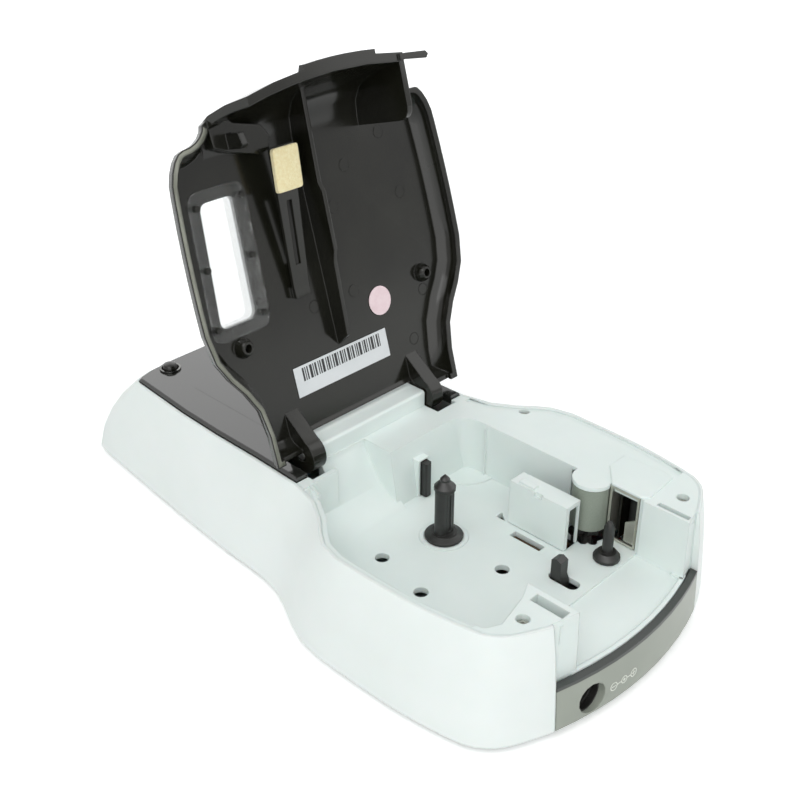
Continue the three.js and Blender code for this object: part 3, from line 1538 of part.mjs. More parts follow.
function noseProfile(x, back, depth) {
  const lipY = lipAt(x) - depth;
  const top = depth > 0 ? cover.inside : cover.top;
  const bottom = depth > 0 ? nose.lipZ - overrun : nose.lipZ;
  const curve = new THREE.CubicBezierCurve(
    new THREE.Vector2(nose.startY, top),
    new THREE.Vector2(nose.startY + (lipY - nose.startY) * 0.7, top),
    new THREE.Vector2(lipY - (lipY - nose.startY) * 0.1, nose.lipZ + (top - nose.lipZ) * 0.68),
    new THREE.Vector2(lipY, bottom));
  const points = curve.getPoints(curveSteps);
  return [...points, new THREE.Vector2(back, bottom), new THREE.Vector2(back, top)].reverse();
}

function noseSolid([x0, x1], back, depth) {
  const steps = curveSteps;
  const rings = Array.from({ length: steps + 1 }, (_, i) => {
    const x = THREE.MathUtils.lerp(x0, x1, i / steps);
    return noseProfile(x, back, depth).map((point) => new THREE.Vector3(x, point.x, point.y));
  });
  return loft(rings);
}

function windowOutline(shrink) {
  const w = windowPane;
  const corners = [
    new THREE.Vector2(w.innerXBack + shrink, w.backY + shrink), new THREE.Vector2(w.outerXBack - shrink, w.backY + shrink),
    new THREE.Vector2(w.outerXFront - shrink, w.frontY - shrink), new THREE.Vector2(w.innerXFront + shrink, w.frontY - shrink),
  ];
  const radius = Math.max(w.corner - shrink / 2, w.corner / 4);
  const path = new THREE.Path();
  corners.forEach((corner, i) => {
    const before = corners[(i + 3) % 4].clone().sub(corner).normalize().multiplyScalar(radius).add(corner);
    const after = corners[(i + 1) % 4].clone().sub(corner).normalize().multiplyScalar(radius).add(corner);
    if (i === 0) path.moveTo(before.x, before.y);
    else path.lineTo(before.x, before.y);
    path.quadraticCurveTo(corner.x, corner.y, after.x, after.y);
  });
  return path.getPoints(4);
}

function windowStuds() {
  const w = windowPane;
  const edge = w.border / 2;
  return [
    [w.innerXBack + edge, w.backY + w.corner], [w.outerXBack - edge, w.backY + w.corner],
    [w.innerXFront + edge, w.frontY - w.corner], [w.outerXFront - edge, w.frontY - w.corner],
    [(w.innerXBack + w.innerXFront) / 2 + edge, (w.backY + w.frontY) / 2],
    [(w.outerXBack + w.outerXFront) / 2 - edge, (w.backY + w.frontY) / 2],
  ];
}

function coverFin() {
  const height = cover.inside - deck.top;
  const profile = [
    [fin.backY, 0], [fin.backY + height * 0.5, 0.85], [fin.backY + height * 4.2, 1.05], [fin.backY + height * 4.8, 1.28],
    [fin.backY + height * 7.6, 1.34], [fin.backY + height * 8, 1.16], [fin.frontY, 1.4],
  ];
  const points = profile.map(([y, share]) => new THREE.Vector2(y, cover.inside - height * share));
  points.push(new THREE.Vector2(fin.frontY, cover.inside + gap), new THREE.Vector2(fin.backY, cover.inside + gap));
  return prismAlongX(points.reverse(), [fin.x - fin.thickness / 2, fin.x + fin.thickness / 2]);
}

function hingeArms() {
  const arm = [
    new THREE.Vector2(hinge.y - hinge.knuckleRadius * 0.9, hinge.z),
    new THREE.Vector2(hinge.y + hinge.knuckleRadius * 0.6, hinge.z - hinge.knuckleRadius * 0.75),
    new THREE.Vector2(hinge.y + hinge.knuckleRadius * 2.4, cover.inside + gap),
    new THREE.Vector2(hinge.y - hinge.knuckleRadius * 0.5, cover.inside + gap),
  ];
  const sides = [-1, 1].map((side) => {
    const ends = [hinge.knuckleInner, hinge.knuckleOuter].map((x) => x * side).sort((a, b) => a - b);
    const knuckle = rodAlongX(ends, hinge.y, hinge.z, hinge.knuckleRadius, fineSides)
      .intersect(box(ends, [-body.length, body.length], [0, cover.top]));
    return join(knuckle, prismAlongX(arm, ends));
  });
  return join(...sides);
}

// Corners of the near latch's block, as shares of its width and depth
const latchBlockShares = [
  [0.98, 0.4], [1, 0.91], [0.69, 1], [0.58, 0.83], [0.11, 0.64], [0, 0.36], [0.06, 0.07], [0.22, 0], [0.74, 0.24],
];

function coverLatches() {
  const hooks = latchSlots.map(({ x, width }) => {
    const half = width * latch.hookShare / 2;
    const profile = [
      new THREE.Vector2(latch.hookBack, cover.inside + gap),
      new THREE.Vector2(latch.hookBack, hinge.z - latch.hookReach + half),
      new THREE.Vector2(latch.hookBack + half, hinge.z - latch.hookReach),
      new THREE.Vector2(latch.hookFront, hinge.z - latch.hookReach + half),
      new THREE.Vector2(latch.hookFront, cover.inside + gap),
    ];
    return prismAlongX(profile, [x - half, x + half]);
  });
  const block = prism(latchBlockShares.map(([xShare, yShare]) => new THREE.Vector2(
    THREE.MathUtils.lerp(latch.blockInner, latch.blockOuter, xShare),
    THREE.MathUtils.lerp(latch.blockBack, latch.blockFront, yShare))),
  [hinge.z - latch.blockReach, cover.inside + gap]);
  return join(block, ...hooks);
}

// Heights above the rim and draw-in of the cover's rounded edge, as shares of its height and round
const coverRoundShares = [[0, 0], [0.28, 0.04], [0.6, 0.26], [0.85, 0.6], [1, 1]];

function coverDome() {
  return loft(coverRoundShares.map(([heightShare, drawShare]) => atHeight(
    coverOutline(cover.edgeRound * drawShare),
    THREE.MathUtils.lerp(cover.skirtBottom, cover.top, heightShare))));
}

// The nose: a curved wall that hangs in front of the label exit
function coverNose() {
  const ends = [nose.farX, nose.nearX];
  const wall = cut(
    noseSolid(ends, nose.backY, 0),
    noseSolid([nose.farX + cover.wall, nose.nearX + overrun], nose.backY - overrun, nose.wall));
  const round = nose.backRound;
  const corner = cut(
    box([nose.farX - gap, nose.farX + cover.wall + gap], [nose.backY - gap, nose.backY + round], [0, nose.lipZ + round]),
    rodAlongX([nose.farX - overrun, nose.nearX], nose.backY + round, nose.lipZ + round, round));
  const lean = (y) => [
    new THREE.Vector3(nose.nearX, y, cover.skirtBottom), new THREE.Vector3(nose.nearX - nose.nearLean, y, nose.lipZ - gap),
    new THREE.Vector3(nose.nearX + overrun, y, nose.lipZ - gap), new THREE.Vector3(nose.nearX + overrun, y, cover.skirtBottom),
  ];
  return cut(wall, corner, stripLoft([nose.startY - overrun, body.length].map(lean)));
}

function coverShell() {
  const outer = coverDome();
  const inner = loft([
    atHeight(coverOutline(cover.wall), cover.skirtBottom - overrun),
    atHeight(coverOutline(cover.wall), cover.inside - cover.wall * 2),
    atHeight(coverOutline(cover.wall + cover.insideRound * 0.45), cover.inside - cover.wall * 0.7),
    atHeight(coverOutline(cover.wall + cover.insideRound), cover.inside),
  ]);
  const exitNotch = box(
    [-body.headHalfWidth, nose.farX - gap / 3], [cover.cornerY - gap, body.length], [0, cover.top + overrun]);
  const rearNotch = box(
    [-hinge.blockHalfWidth - gap, hinge.blockHalfWidth + gap], [-body.length, cover.rearNotchY], [0, cover.top + overrun]);
  const noseRoom = box([nose.farX, nose.nearX - cover.wall / 2], [nose.startY, body.length], [0, cover.top + overrun]);
  const latches = coverLatches().intersect(join(outer, noseSolid([nose.farX, nose.nearX], nose.backY, 0),
    box([-body.headHalfWidth, body.headHalfWidth], [0, body.front], [0, cover.skirtBottom])));
  let solid = join(cut(outer, inner, rearNotch, exitNotch, noseRoom), coverNose(), noseTab(), noseGrip());
  solid = cut(solid, prism(windowOutline(windowPane.border), [cover.inside - overrun, cover.top + overrun]));
  solid = join(solid, coverFin(), hingeArms(), latches);
  for (const side of [-1, 1]) {
    const x = side * coverBoss.x;
    const low = cover.inside - coverBoss.height;
    const boss = turned(x, coverBoss.y, [
      [0, low], [coverBoss.bore * 1.5, low], [coverBoss.radius * 0.8, low + coverBoss.height * 0.25],
      [coverBoss.radius, low + coverBoss.height * 0.7], [coverBoss.radius, cover.inside + gap], [0, cover.inside + gap],
    ]);
    solid = cut(join(solid, boss), post(x, coverBoss.y, coverBoss.bore, [low - overrun, cover.inside]));
  }
  for (const [x, y] of windowStuds()) {
    const studFoot = cover.inside - windowPane.thickness - windowPane.studHeight;
    solid = join(solid, post(x, y, windowPane.studRadius, [studFoot, cover.inside + gap], roundSides / 2));
  }
  const tongueRoot = box(
    [tongue.x - tongue.rootHalfWidth, tongue.x + tongue.rootHalfWidth], [tongue.rootY, tongue.bendY],
    [cover.inside - tongue.thickness, cover.inside + gap]);
  const panelRoom = box(
    [-panelHalfWidth() - 2 * gap, panelHalfWidth() + 2 * gap], [-body.length, panel.earFront + gap * 4],
    [0, panel.top + gap * 2]);
  const pinBore = rodAlongX([-body.headHalfWidth, body.headHalfWidth], hinge.y, hinge.z, hinge.bore);
  return cut(join(solid, tongueRoot), panelRoom.subtract(knuckleKeep()), pinBore);
}

function knuckleKeep() {
  const sides = [-1, 1].map((side) => {
    const ends = [hinge.knuckleInner, hinge.knuckleOuter].map((x) => x * side).sort((a, b) => a - b);
    return box(ends, [-body.length, body.length], [0, shell.rim + overrun]);
  });
  return join(...sides);
}

function panelHalfWidth() {
  return Math.max(...panelOutline(0).filter((point) => point.y < 0).map((point) => point.x));
}

function noseTab() {
  const y = lipAt(nose.farX);
  const middle = nose.lipZ - nose.tabHeight / 2;
  return prism([
    new THREE.Vector2(nose.farX + cover.wall, y - nose.tabDepth),
    new THREE.Vector2(nose.farX + cover.wall, y - gap),
    new THREE.Vector2(nose.farX, y - gap),
    new THREE.Vector2(nose.farX - nose.tabLength * 0.9, y - nose.tabDepth * 0.5),
    new THREE.Vector2(nose.farX - nose.tabLength, y - nose.tabDepth),
    new THREE.Vector2(nose.farX - nose.tabLength * 0.9, y - nose.tabDepth * 1.5),
    new THREE.Vector2(nose.farX, y - nose.tabDepth),
  ].reverse(), [middle, middle + nose.tabHeight]);
}

function noseGrip() {
  const steps = curveSteps;
  return loft(Array.from({ length: steps + 1 }, (_, i) => {
    const x = THREE.MathUtils.lerp(nose.gripFar, nose.gripNear, i / steps);
    const y = lipAt(x);
    return [
      new THREE.Vector3(x, y - nose.wall / 2, nose.lipZ + nose.gripHeight * 1.6),
      new THREE.Vector3(x, y - nose.wall / 2, nose.lipZ),
      new THREE.Vector3(x, y + nose.gripProud, nose.lipZ),
      new THREE.Vector3(x, y + nose.gripProud, nose.lipZ + nose.gripHeight),
    ];
  }));
}

function coverWindow() {
  let pane = prism(windowOutline(0), [cover.inside - windowPane.thickness, cover.inside - gap / 3]);
  for (const [x, y] of windowStuds()) {
    pane = cut(pane, post(x, y, windowPane.studRadius + gap, [0, cover.top], roundSides / 2));
  }
  return pane;
}

function pressureTongue() {
  const top = cover.inside - tongue.thickness - gap;
  const at = (y) => top - tongue.rise * Math.max(0, (y - tongue.bendY) / (tongue.frontY - tongue.bendY));
  const widthAt = (y) => THREE.MathUtils.lerp(
    tongue.rootHalfWidth, tongue.tipHalfWidth, (y - tongue.rootY) / (tongue.frontY - tongue.rootY));
  const stations = [tongue.rootY, tongue.bendY, tongue.slotFront, tongue.frontY];
  const rings = stations.map((y) => {
    const half = widthAt(y);
    return [
      new THREE.Vector3(tongue.x - half, y, at(y)), new THREE.Vector3(tongue.x - half, y, at(y) - tongue.thickness),
      new THREE.Vector3(tongue.x + half, y, at(y) - tongue.thickness), new THREE.Vector3(tongue.x + half, y, at(y)),
    ];
  });
  const blade = stripLoft(rings);
  const slot = box(
    [tongue.x - tongue.slotHalfWidth, tongue.x + tongue.slotHalfWidth], [tongue.slotBack, tongue.slotFront],
    [0, cover.top]);
  return cut(blade, slot);
}

// Four-cornered rings that follow each other along Y
function stripLoft(rings) {
  const positions = rings.flat().flatMap((point) => [point.x, point.y, point.z]);
  const index = [];
  for (let i = 0; i + 1 < rings.length; i += 1) {
    for (let k = 0; k < 4; k += 1) {
      const a = i * 4 + k;
      const b = i * 4 + (k + 1) % 4;
      index.push(a, b + 4, b, a, a + 4, b + 4);
    }
  }
  const last = (rings.length - 1) * 4;
  index.push(0, 1, 2, 0, 2, 3, last, last + 2, last + 1, last, last + 3, last + 2);
  const geometry = new THREE.BufferGeometry();
  geometry.setAttribute('position', new THREE.Float32BufferAttribute(positions, 3));
  geometry.setIndex(index);
  return solidFrom(geometry);
}

function foamPad() {
  const slope = tongue.rise / (tongue.frontY - tongue.bendY);
  const under = cover.inside - tongue.thickness * 2 - gap;
  const at = (y) => under - slope * (y - tongue.bendY) - gap / 2;
  const y1 = tongue.frontY - gap;
  const y0 = y1 - tongue.foamLength;
  return prismAlongX([
    new THREE.Vector2(y0, at(y0)), new THREE.Vector2(y0, at(y0) - tongue.foamThickness),
    new THREE.Vector2(y1, at(y1) - tongue.foamThickness), new THREE.Vector2(y1, at(y1)),
  ], [tongue.x - tongue.foamHalfWidth, tongue.x + tongue.foamHalfWidth]);
}

function barcodeLabel() {
  return box([sticker.xLow, sticker.xHigh], [sticker.yLow, sticker.yHigh],
    [cover.inside - gap / 3 - sticker.thickness, cover.inside - gap / 3]);
}

function dotSticker() {
  return post(sticker.dotX, sticker.dotY, sticker.dotRadius,
    [cover.inside - gap / 3 - sticker.thickness, cover.inside - gap / 3], fineSides);
}

function hingePin(side) {
  const ends = [hinge.knuckleOuter - hinge.pinLength, hinge.knuckleOuter].map((x) => x * side);
  return rodAlongX(ends.sort((a, b) => a - b), hinge.y, hinge.z, hinge.pinRadius);
}

// Assembly

const printer = new THREE.Group();
printer.position.y = -(body.front + body.back) / 2;
const coverGroup = new THREE.Group();
coverGroup.position.set(0, hinge.y, hinge.z);
coverGroup.rotation.x = hinge.openAngle * degree;
printer.add(coverGroup);

function add(name, solid, hex, roughness, metalness = 0, parent = printer) {
  const geometry = geometryFrom(solid);
  if (parent === coverGroup) geometry.translate(0, -hinge.y, -hinge.z);
  const material = new THREE.MeshStandardMaterial({ color: hex, roughness, metalness });
  const mesh = new THREE.Mesh(geometry, material);
  mesh.name = name;
  parent.add(mesh);
}

add('lower_shell', lowerShell(), colour.shellWhite, 0.45);
add('bay_frame', bayFrame(), colour.frameWhite, 0.5);
add('front_strip', frontStrip(), colour.stripGrey, 0.4);
add('jack_socket', jackSocket(), colour.black, 0.4);
add('jack_pin', jackPin(), colour.steel, 0.25, 1);
add('face_panel', facePanel(), colour.panelBlack, 0.15);
add('touch_glass', touchGlass(), colour.panelBlack, 0.05);
add('display_module', displayModule(), colour.darkRubber, 0.4);
add('button_ring', buttonRing(), colour.steel, 0.2, 1);
add('power_button', powerButtonCap(), colour.black, 0.2);
add('main_board', mainBoard(), colour.board, 0.6);
add('battery_pack', batteryPack(), colour.battery, 0.5);
add('battery_door', batteryDoor(), colour.shellWhite, 0.5);
footPlaces.forEach((place, i) => add(`rubber_foot_${i + 1}`, rubberFoot(place), colour.darkRubber, 0.8));
deckScrewPlaces.forEach((place, i) => {
  add(`deck_screw_${i + 1}`, screwAt(place, screwSeat, 1), colour.steel, 0.3, 1);
});
caseScrewPlaces.forEach((place, i) => {
  add(`case_screw_${i + 1}`, screwAt(place, shell.bottom + screw.headHeight, -1), colour.steel, 0.3, 1);
});
add('hinge_pin_right', hingePin(1), colour.steel, 0.25, 1);
add('hinge_pin_left', hingePin(-1), colour.steel, 0.25, 1);
add('gear_plate', gearPlate(), colour.steel, 0.4, 1);
add('drive_motor', driveMotor(), colour.steel, 0.35, 1);
add('motor_pinion', motorPinion(), colour.brass, 0.4, 1);
add('first_idler_gear', gearWheel(firstIdler, gearing.pinRadius + gap), colour.gearWhite, 0.5);
add('second_idler_gear', gearWheel(secondIdler, gearing.pinRadius + gap), colour.gearWhite, 0.5);
add('platen_gear', gearWheel(platenGear, platen.shaftRadius + gap), colour.gearWhite, 0.5);
add('platen_shaft', platenShaft(), colour.steel, 0.25, 1);
add('platen_coupling', platenCoupling(), colour.black, 0.5);
add('platen_roller', platenRoller(), colour.rubber, 0.7);
add('spindle_gear', gearWheel(spindleGear, spindle.shaftRadius + gap), colour.gearWhite, 0.5);
add('ribbon_spindle', ribbonSpindle(), colour.black, 0.45);
add('head_cover', headCover(), colour.frameWhite, 0.5);
add('head_heat_sink', headSink(), colour.steel, 0.35, 1);
add('print_head', headElement(), colour.ceramic, 0.3);
add('head_arm', headArm(), colour.brass, 0.4, 1);
add('head_lever', headLever(), colour.black, 0.5);
add('cassette_detent', cassetteDetent(), colour.black, 0.5);
add('tape_guide_post', guidePost(), colour.black, 0.5);
add('cutter_plate', cutterPlate(), colour.steel, 0.25, 1);
add('tape_clip', tapeClip(), colour.steel, 0.2, 1);
add('cutter_slide', cutterSlide(), colour.black, 0.5);
add('cutter_blade', cutterBlade(), colour.steel, 0.2, 1);
add('cutter_button', cutterButton(), colour.shellWhite, 0.45);
add('cover_shell', coverShell(), colour.black, 0.3, 0, coverGroup);
add('cover_window', coverWindow(), colour.clear, 0.1, 0, coverGroup);
add('pressure_tongue', pressureTongue(), colour.black, 0.35, 0, coverGroup);
add('foam_pad', foamPad(), colour.foam, 0.9, 0, coverGroup);
add('barcode_label', barcodeLabel(), colour.label, 0.5, 0, coverGroup);
add('dot_sticker', dotSticker(), colour.pink, 0.6, 0, coverGroup);

export default printer;
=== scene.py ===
import bpy
import bmesh
import math
from mathutils import Matrix, Vector
from mathutils.bvhtree import BVHTree


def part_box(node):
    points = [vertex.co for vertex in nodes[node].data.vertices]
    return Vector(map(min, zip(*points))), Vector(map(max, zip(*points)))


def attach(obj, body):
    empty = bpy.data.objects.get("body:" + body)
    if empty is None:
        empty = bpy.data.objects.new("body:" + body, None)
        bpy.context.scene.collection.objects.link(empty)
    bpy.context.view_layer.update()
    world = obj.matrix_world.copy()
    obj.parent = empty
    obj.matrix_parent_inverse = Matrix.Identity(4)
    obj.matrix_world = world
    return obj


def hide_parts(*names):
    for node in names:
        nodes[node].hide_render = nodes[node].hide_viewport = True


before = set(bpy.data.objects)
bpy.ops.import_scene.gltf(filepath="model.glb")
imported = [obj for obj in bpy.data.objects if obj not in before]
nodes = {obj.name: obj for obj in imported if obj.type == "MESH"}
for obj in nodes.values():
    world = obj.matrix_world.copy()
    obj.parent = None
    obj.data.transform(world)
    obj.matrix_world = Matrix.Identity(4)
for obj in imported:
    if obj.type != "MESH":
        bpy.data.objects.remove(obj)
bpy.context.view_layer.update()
mm = 0.001
print("frame loaded:", len(nodes), "nodes")

srgbCurve = {"knee": 0.04045, "slope": 12.92, "lift": 0.055, "power": 2.4}


def hexColour(code):
    # sRGB hex to the linear colour that shaders take
    curve = srgbCurve
    channels = [int(code[i:i + 2], 16) / 255 for i in (1, 3, 5)]
    linear = [c / curve["slope"] if c <= curve["knee"]
              else ((c + curve["lift"]) / (1 + curve["lift"])) ** curve["power"] for c in channels]
    return (*linear, 1.0)


def addNode(owner, kind, settings=None, links=None):
    # a key is a socket's name or number, a ramp's stops, or else a property of the node
    node = owner.node_tree.nodes.new(kind)
    for key, value in (settings or {}).items():
        if key == "stops":
            for stop, (position, code) in zip(node.color_ramp.elements, value):
                stop.color = hexColour(code)
                stop.position = position
        elif isinstance(key, int) or key in node.inputs:
            node.inputs[key].default_value = value
        else:
            setattr(node, key, value)
    for key, source in (links or {}).items():
        owner.node_tree.links.new(source, node.inputs[key])
    return node


def blankMaterial(name):
    material = bpy.data.materials.new(name)
    material.use_nodes = True
    material.node_tree.nodes.clear()
    return material


def finishMaterial(material, shader):
    addNode(material, "ShaderNodeOutputMaterial", links={"Surface": shader.outputs[0]})
    return material


# Moulded plastic: the tool is spark-eroded or polished, so the grain or the gloss comes from it
def mouldedPlastic(name, look):
    material = blankMaterial(name)
    place = addNode(material, "ShaderNodeTexCoord").outputs["Object"]
    # cloudy shade that thick and thin walls leave in the resin
    cloud = addNode(material, "ShaderNodeTexNoise",
                    {"Scale": 1 / (look["cloudMm"] * mm), "Detail": 3.0, "Roughness": 0.55},
                    {"Vector": place}).outputs["Fac"]
    colour = addNode(material, "ShaderNodeValToRGB",
                     {"stops": ((0.35, look["colourLow"]), (0.65, look["colourHigh"]))},
                     {"Fac": cloud})
    # tool texture, drawn coarse enough to show
    grain = addNode(material, "ShaderNodeTexNoise",
                    {"Scale": 1 / (look["grainMm"] * mm), "Detail": 4.0, "Roughness": 0.6},
                    {"Vector": place})
    sheen = addNode(material, "ShaderNodeMapRange",
                    {"To Min": look["roughLow"], "To Max": look["roughHigh"]}, {"Value": cloud})
    rounded = addNode(material, "ShaderNodeBevel", {"samples": 4, "Radius": look["edgeMm"] * mm})
    bump = addNode(material, "ShaderNodeBump",
                   {"Strength": look["bump"], "Distance": 0.05 * mm},
                   {"Height": grain.outputs["Fac"], "Normal": rounded.outputs["Normal"]})
    shader = addNode(material, "ShaderNodeBsdfPrincipled",
                     {"IOR": 1.53, "Specular IOR Level": look.get("gloss", 0.5),
                      "Subsurface Weight": look.get("glow", 0.0), "Subsurface Scale": 2 * mm},
                     {"Base Color": colour.outputs["Color"], "Roughness": sheen.outputs["Result"],
                      "Normal": bump.outputs["Normal"]})
    return finishMaterial(material, shader)


# Sprayed strip: a pale grey face that is a painted reflection of the studio on a darker semi-gloss
# lacquer, with painted shade along its top edge under the deck's lip
def stripWithPaintedLight(name, look):
    material = blankMaterial(name)
    place = addNode(material, "ShaderNodeTexCoord").outputs["Object"]
    cloud = addNode(material, "ShaderNodeTexNoise",
                    {"Scale": 1 / (look["cloudMm"] * mm), "Detail": 2.0},
                    {"Vector": place}).outputs["Fac"]
    # painted reflection: the pale grey stands for the studio mirrored in the strip's darker face
    face = addNode(material, "ShaderNodeValToRGB",
                   {"stops": ((0.3, look["colourLow"]), (0.7, look["colourHigh"]))},
                   {"Fac": cloud})
    # painted shade: the colour turns to the edge colour over the top of the face, where the gap
    # under the deck's lip shades it
    axes = addNode(material, "ShaderNodeSeparateXYZ", links={"Vector": place})
    edge = addNode(material, "ShaderNodeMapRange",
                   {"From Min": (look["gapShadeZ"] - look["gapShadeFade"]) * mm,
                    "From Max": look["gapShadeZ"] * mm},
                   {"Value": axes.outputs["Z"]})
    # sockets 0, 6 and 7 are the factor and the two colours, output 2 is the mixed colour
    colour = addNode(material, "ShaderNodeMix", {"data_type": "RGBA", 7: hexColour(look["edge"])},
                     {0: edge.outputs["Result"], 6: face.outputs["Color"]})
    grain = addNode(material, "ShaderNodeTexNoise",
                    {"Scale": 1 / (look["grainMm"] * mm), "Detail": 3.0}, {"Vector": place})
    rounded = addNode(material, "ShaderNodeBevel", {"samples": 4, "Radius": 0.4 * mm})
    bump = addNode(material, "ShaderNodeBump", {"Strength": 0.1, "Distance": 0.04 * mm},
                   {"Height": grain.outputs["Fac"], "Normal": rounded.outputs["Normal"]})
    sheen = addNode(material, "ShaderNodeMapRange",
                    {"To Min": look["roughLow"], "To Max": look["roughHigh"]}, {"Value": cloud})
    shader = addNode(material, "ShaderNodeBsdfPrincipled", {"IOR": 1.5},
                     {"Base Color": colour.outputs[2], "Roughness": sheen.outputs["Result"],
                      "Normal": bump.outputs["Normal"]})
    return finishMaterial(material, shader)


# Sheet and turned metal: fine lines along one axis from rolling, brushing or turning
def workedMetal(name, look):
    material = blankMaterial(name)
    place = addNode(material, "ShaderNodeTexCoord").outputs["Object"]
    stretch = addNode(material, "ShaderNodeMapping", {"Scale": look["lines"]}, {"Vector": place})
    lines = addNode(material, "ShaderNodeTexNoise",
                    {"Scale": 1 / (look["lineMm"] * mm), "Detail": 3.0, "Roughness": 0.6},
                    {"Vector": stretch.outputs["Vector"]}).outputs["Fac"]
    colour = addNode(material, "ShaderNodeValToRGB",
                     {"stops": ((0.3, look["colourLow"]), (0.7, look["colourHigh"]))},
                     {"Fac": lines})
    sheen = addNode(material, "ShaderNodeMapRange",
                    {"To Min": look["roughLow"], "To Max": look["roughHigh"]}, {"Value": lines})
    rounded = addNode(material, "ShaderNodeBevel", {"samples": 4, "Radius": 0.12 * mm})
    bump = addNode(material, "ShaderNodeBump", {"Strength": 0.15, "Distance": 0.02 * mm},
                   {"Height": lines, "Normal": rounded.outputs["Normal"]})
    shader = addNode(material, "ShaderNodeBsdfPrincipled", {"Metallic": 1.0},
                     {"Base Color": colour.outputs["Color"], "Roughness": sheen.outputs["Result"],
                      "Normal": bump.outputs["Normal"]})
    return finishMaterial(material, shader)


# Rubber: ground or moulded, dull, with a grit that breaks the highlight
def mattRubber(name, look):
    material = blankMaterial(name)
    place = addNode(material, "ShaderNodeTexCoord").outputs["Object"]
    grit = addNode(material, "ShaderNodeTexNoise",
                   {"Scale": 1 / (look["gritMm"] * mm), "Detail": 5.0, "Roughness": 0.65},
                   {"Vector": place}).outputs["Fac"]
    colour = addNode(material, "ShaderNodeValToRGB",
                     {"stops": ((0.3, look["colourLow"]), (0.7, look["colourHigh"]))},
                     {"Fac": grit})
    rounded = addNode(material, "ShaderNodeBevel", {"samples": 4, "Radius": 0.3 * mm})
    bump = addNode(material, "ShaderNodeBump", {"Strength": 0.3, "Distance": 0.05 * mm},
                   {"Height": grit, "Normal": rounded.outputs["Normal"]})
    shader = addNode(material, "ShaderNodeBsdfPrincipled",
                     {"Roughness": look["rough"], "IOR": 1.52},
                     {"Base Color": colour.outputs["Color"], "Normal": bump.outputs["Normal"]})
    return finishMaterial(material, shader)


# Clear acrylic: a see-through pane with the faintest waviness
def clearAcrylic(name, look):
    material = blankMaterial(name)
    place = addNode(material, "ShaderNodeTexCoord").outputs["Object"]
    wave = addNode(material, "ShaderNodeTexNoise",
                   {"Scale": 1 / (look["waveMm"] * mm), "Detail": 1.0}, {"Vector": place})
    bump = addNode(material, "ShaderNodeBump", {"Strength": 0.05, "Distance": 0.05 * mm},
                   {"Height": wave.outputs["Fac"]})
    shader = addNode(material, "ShaderNodeBsdfPrincipled",
                     {"Base Color": hexColour(look["tint"]), "Roughness": 0.02, "IOR": 1.49,
                      "Transmission Weight": 1.0, "Alpha": look["alpha"]},
                     {"Normal": bump.outputs["Normal"]})
    return finishMaterial(material, shader)


# Felt or open foam: soft colour flecks and pits, no highlight
def softFoam(name, look):
    material = blankMaterial(name)
    place = addNode(material, "ShaderNodeTexCoord").outputs["Object"]
    cells = addNode(material, "ShaderNodeTexVoronoi",
                    {"Scale": 1 / (look["cellMm"] * mm)}, {"Vector": place})
    fluff = addNode(material, "ShaderNodeTexNoise",
                    {"Scale": 1 / (look["fluffMm"] * mm), "Detail": 5.0}, {"Vector": place})
    colour = addNode(material, "ShaderNodeValToRGB",
                     {"stops": ((0.3, look["colourLow"]), (0.7, look["colourHigh"]))},
                     {"Fac": fluff.outputs["Fac"]})
    bump = addNode(material, "ShaderNodeBump", {"Strength": 0.5, "Distance": 0.2 * mm},
                   {"Height": cells.outputs["Distance"]})
    shader = addNode(material, "ShaderNodeBsdfPrincipled",
                     {"Roughness": 0.95, "Sheen Weight": 0.3},
                     {"Base Color": colour.outputs["Color"], "Normal": bump.outputs["Normal"]})
    return finishMaterial(material, shader)


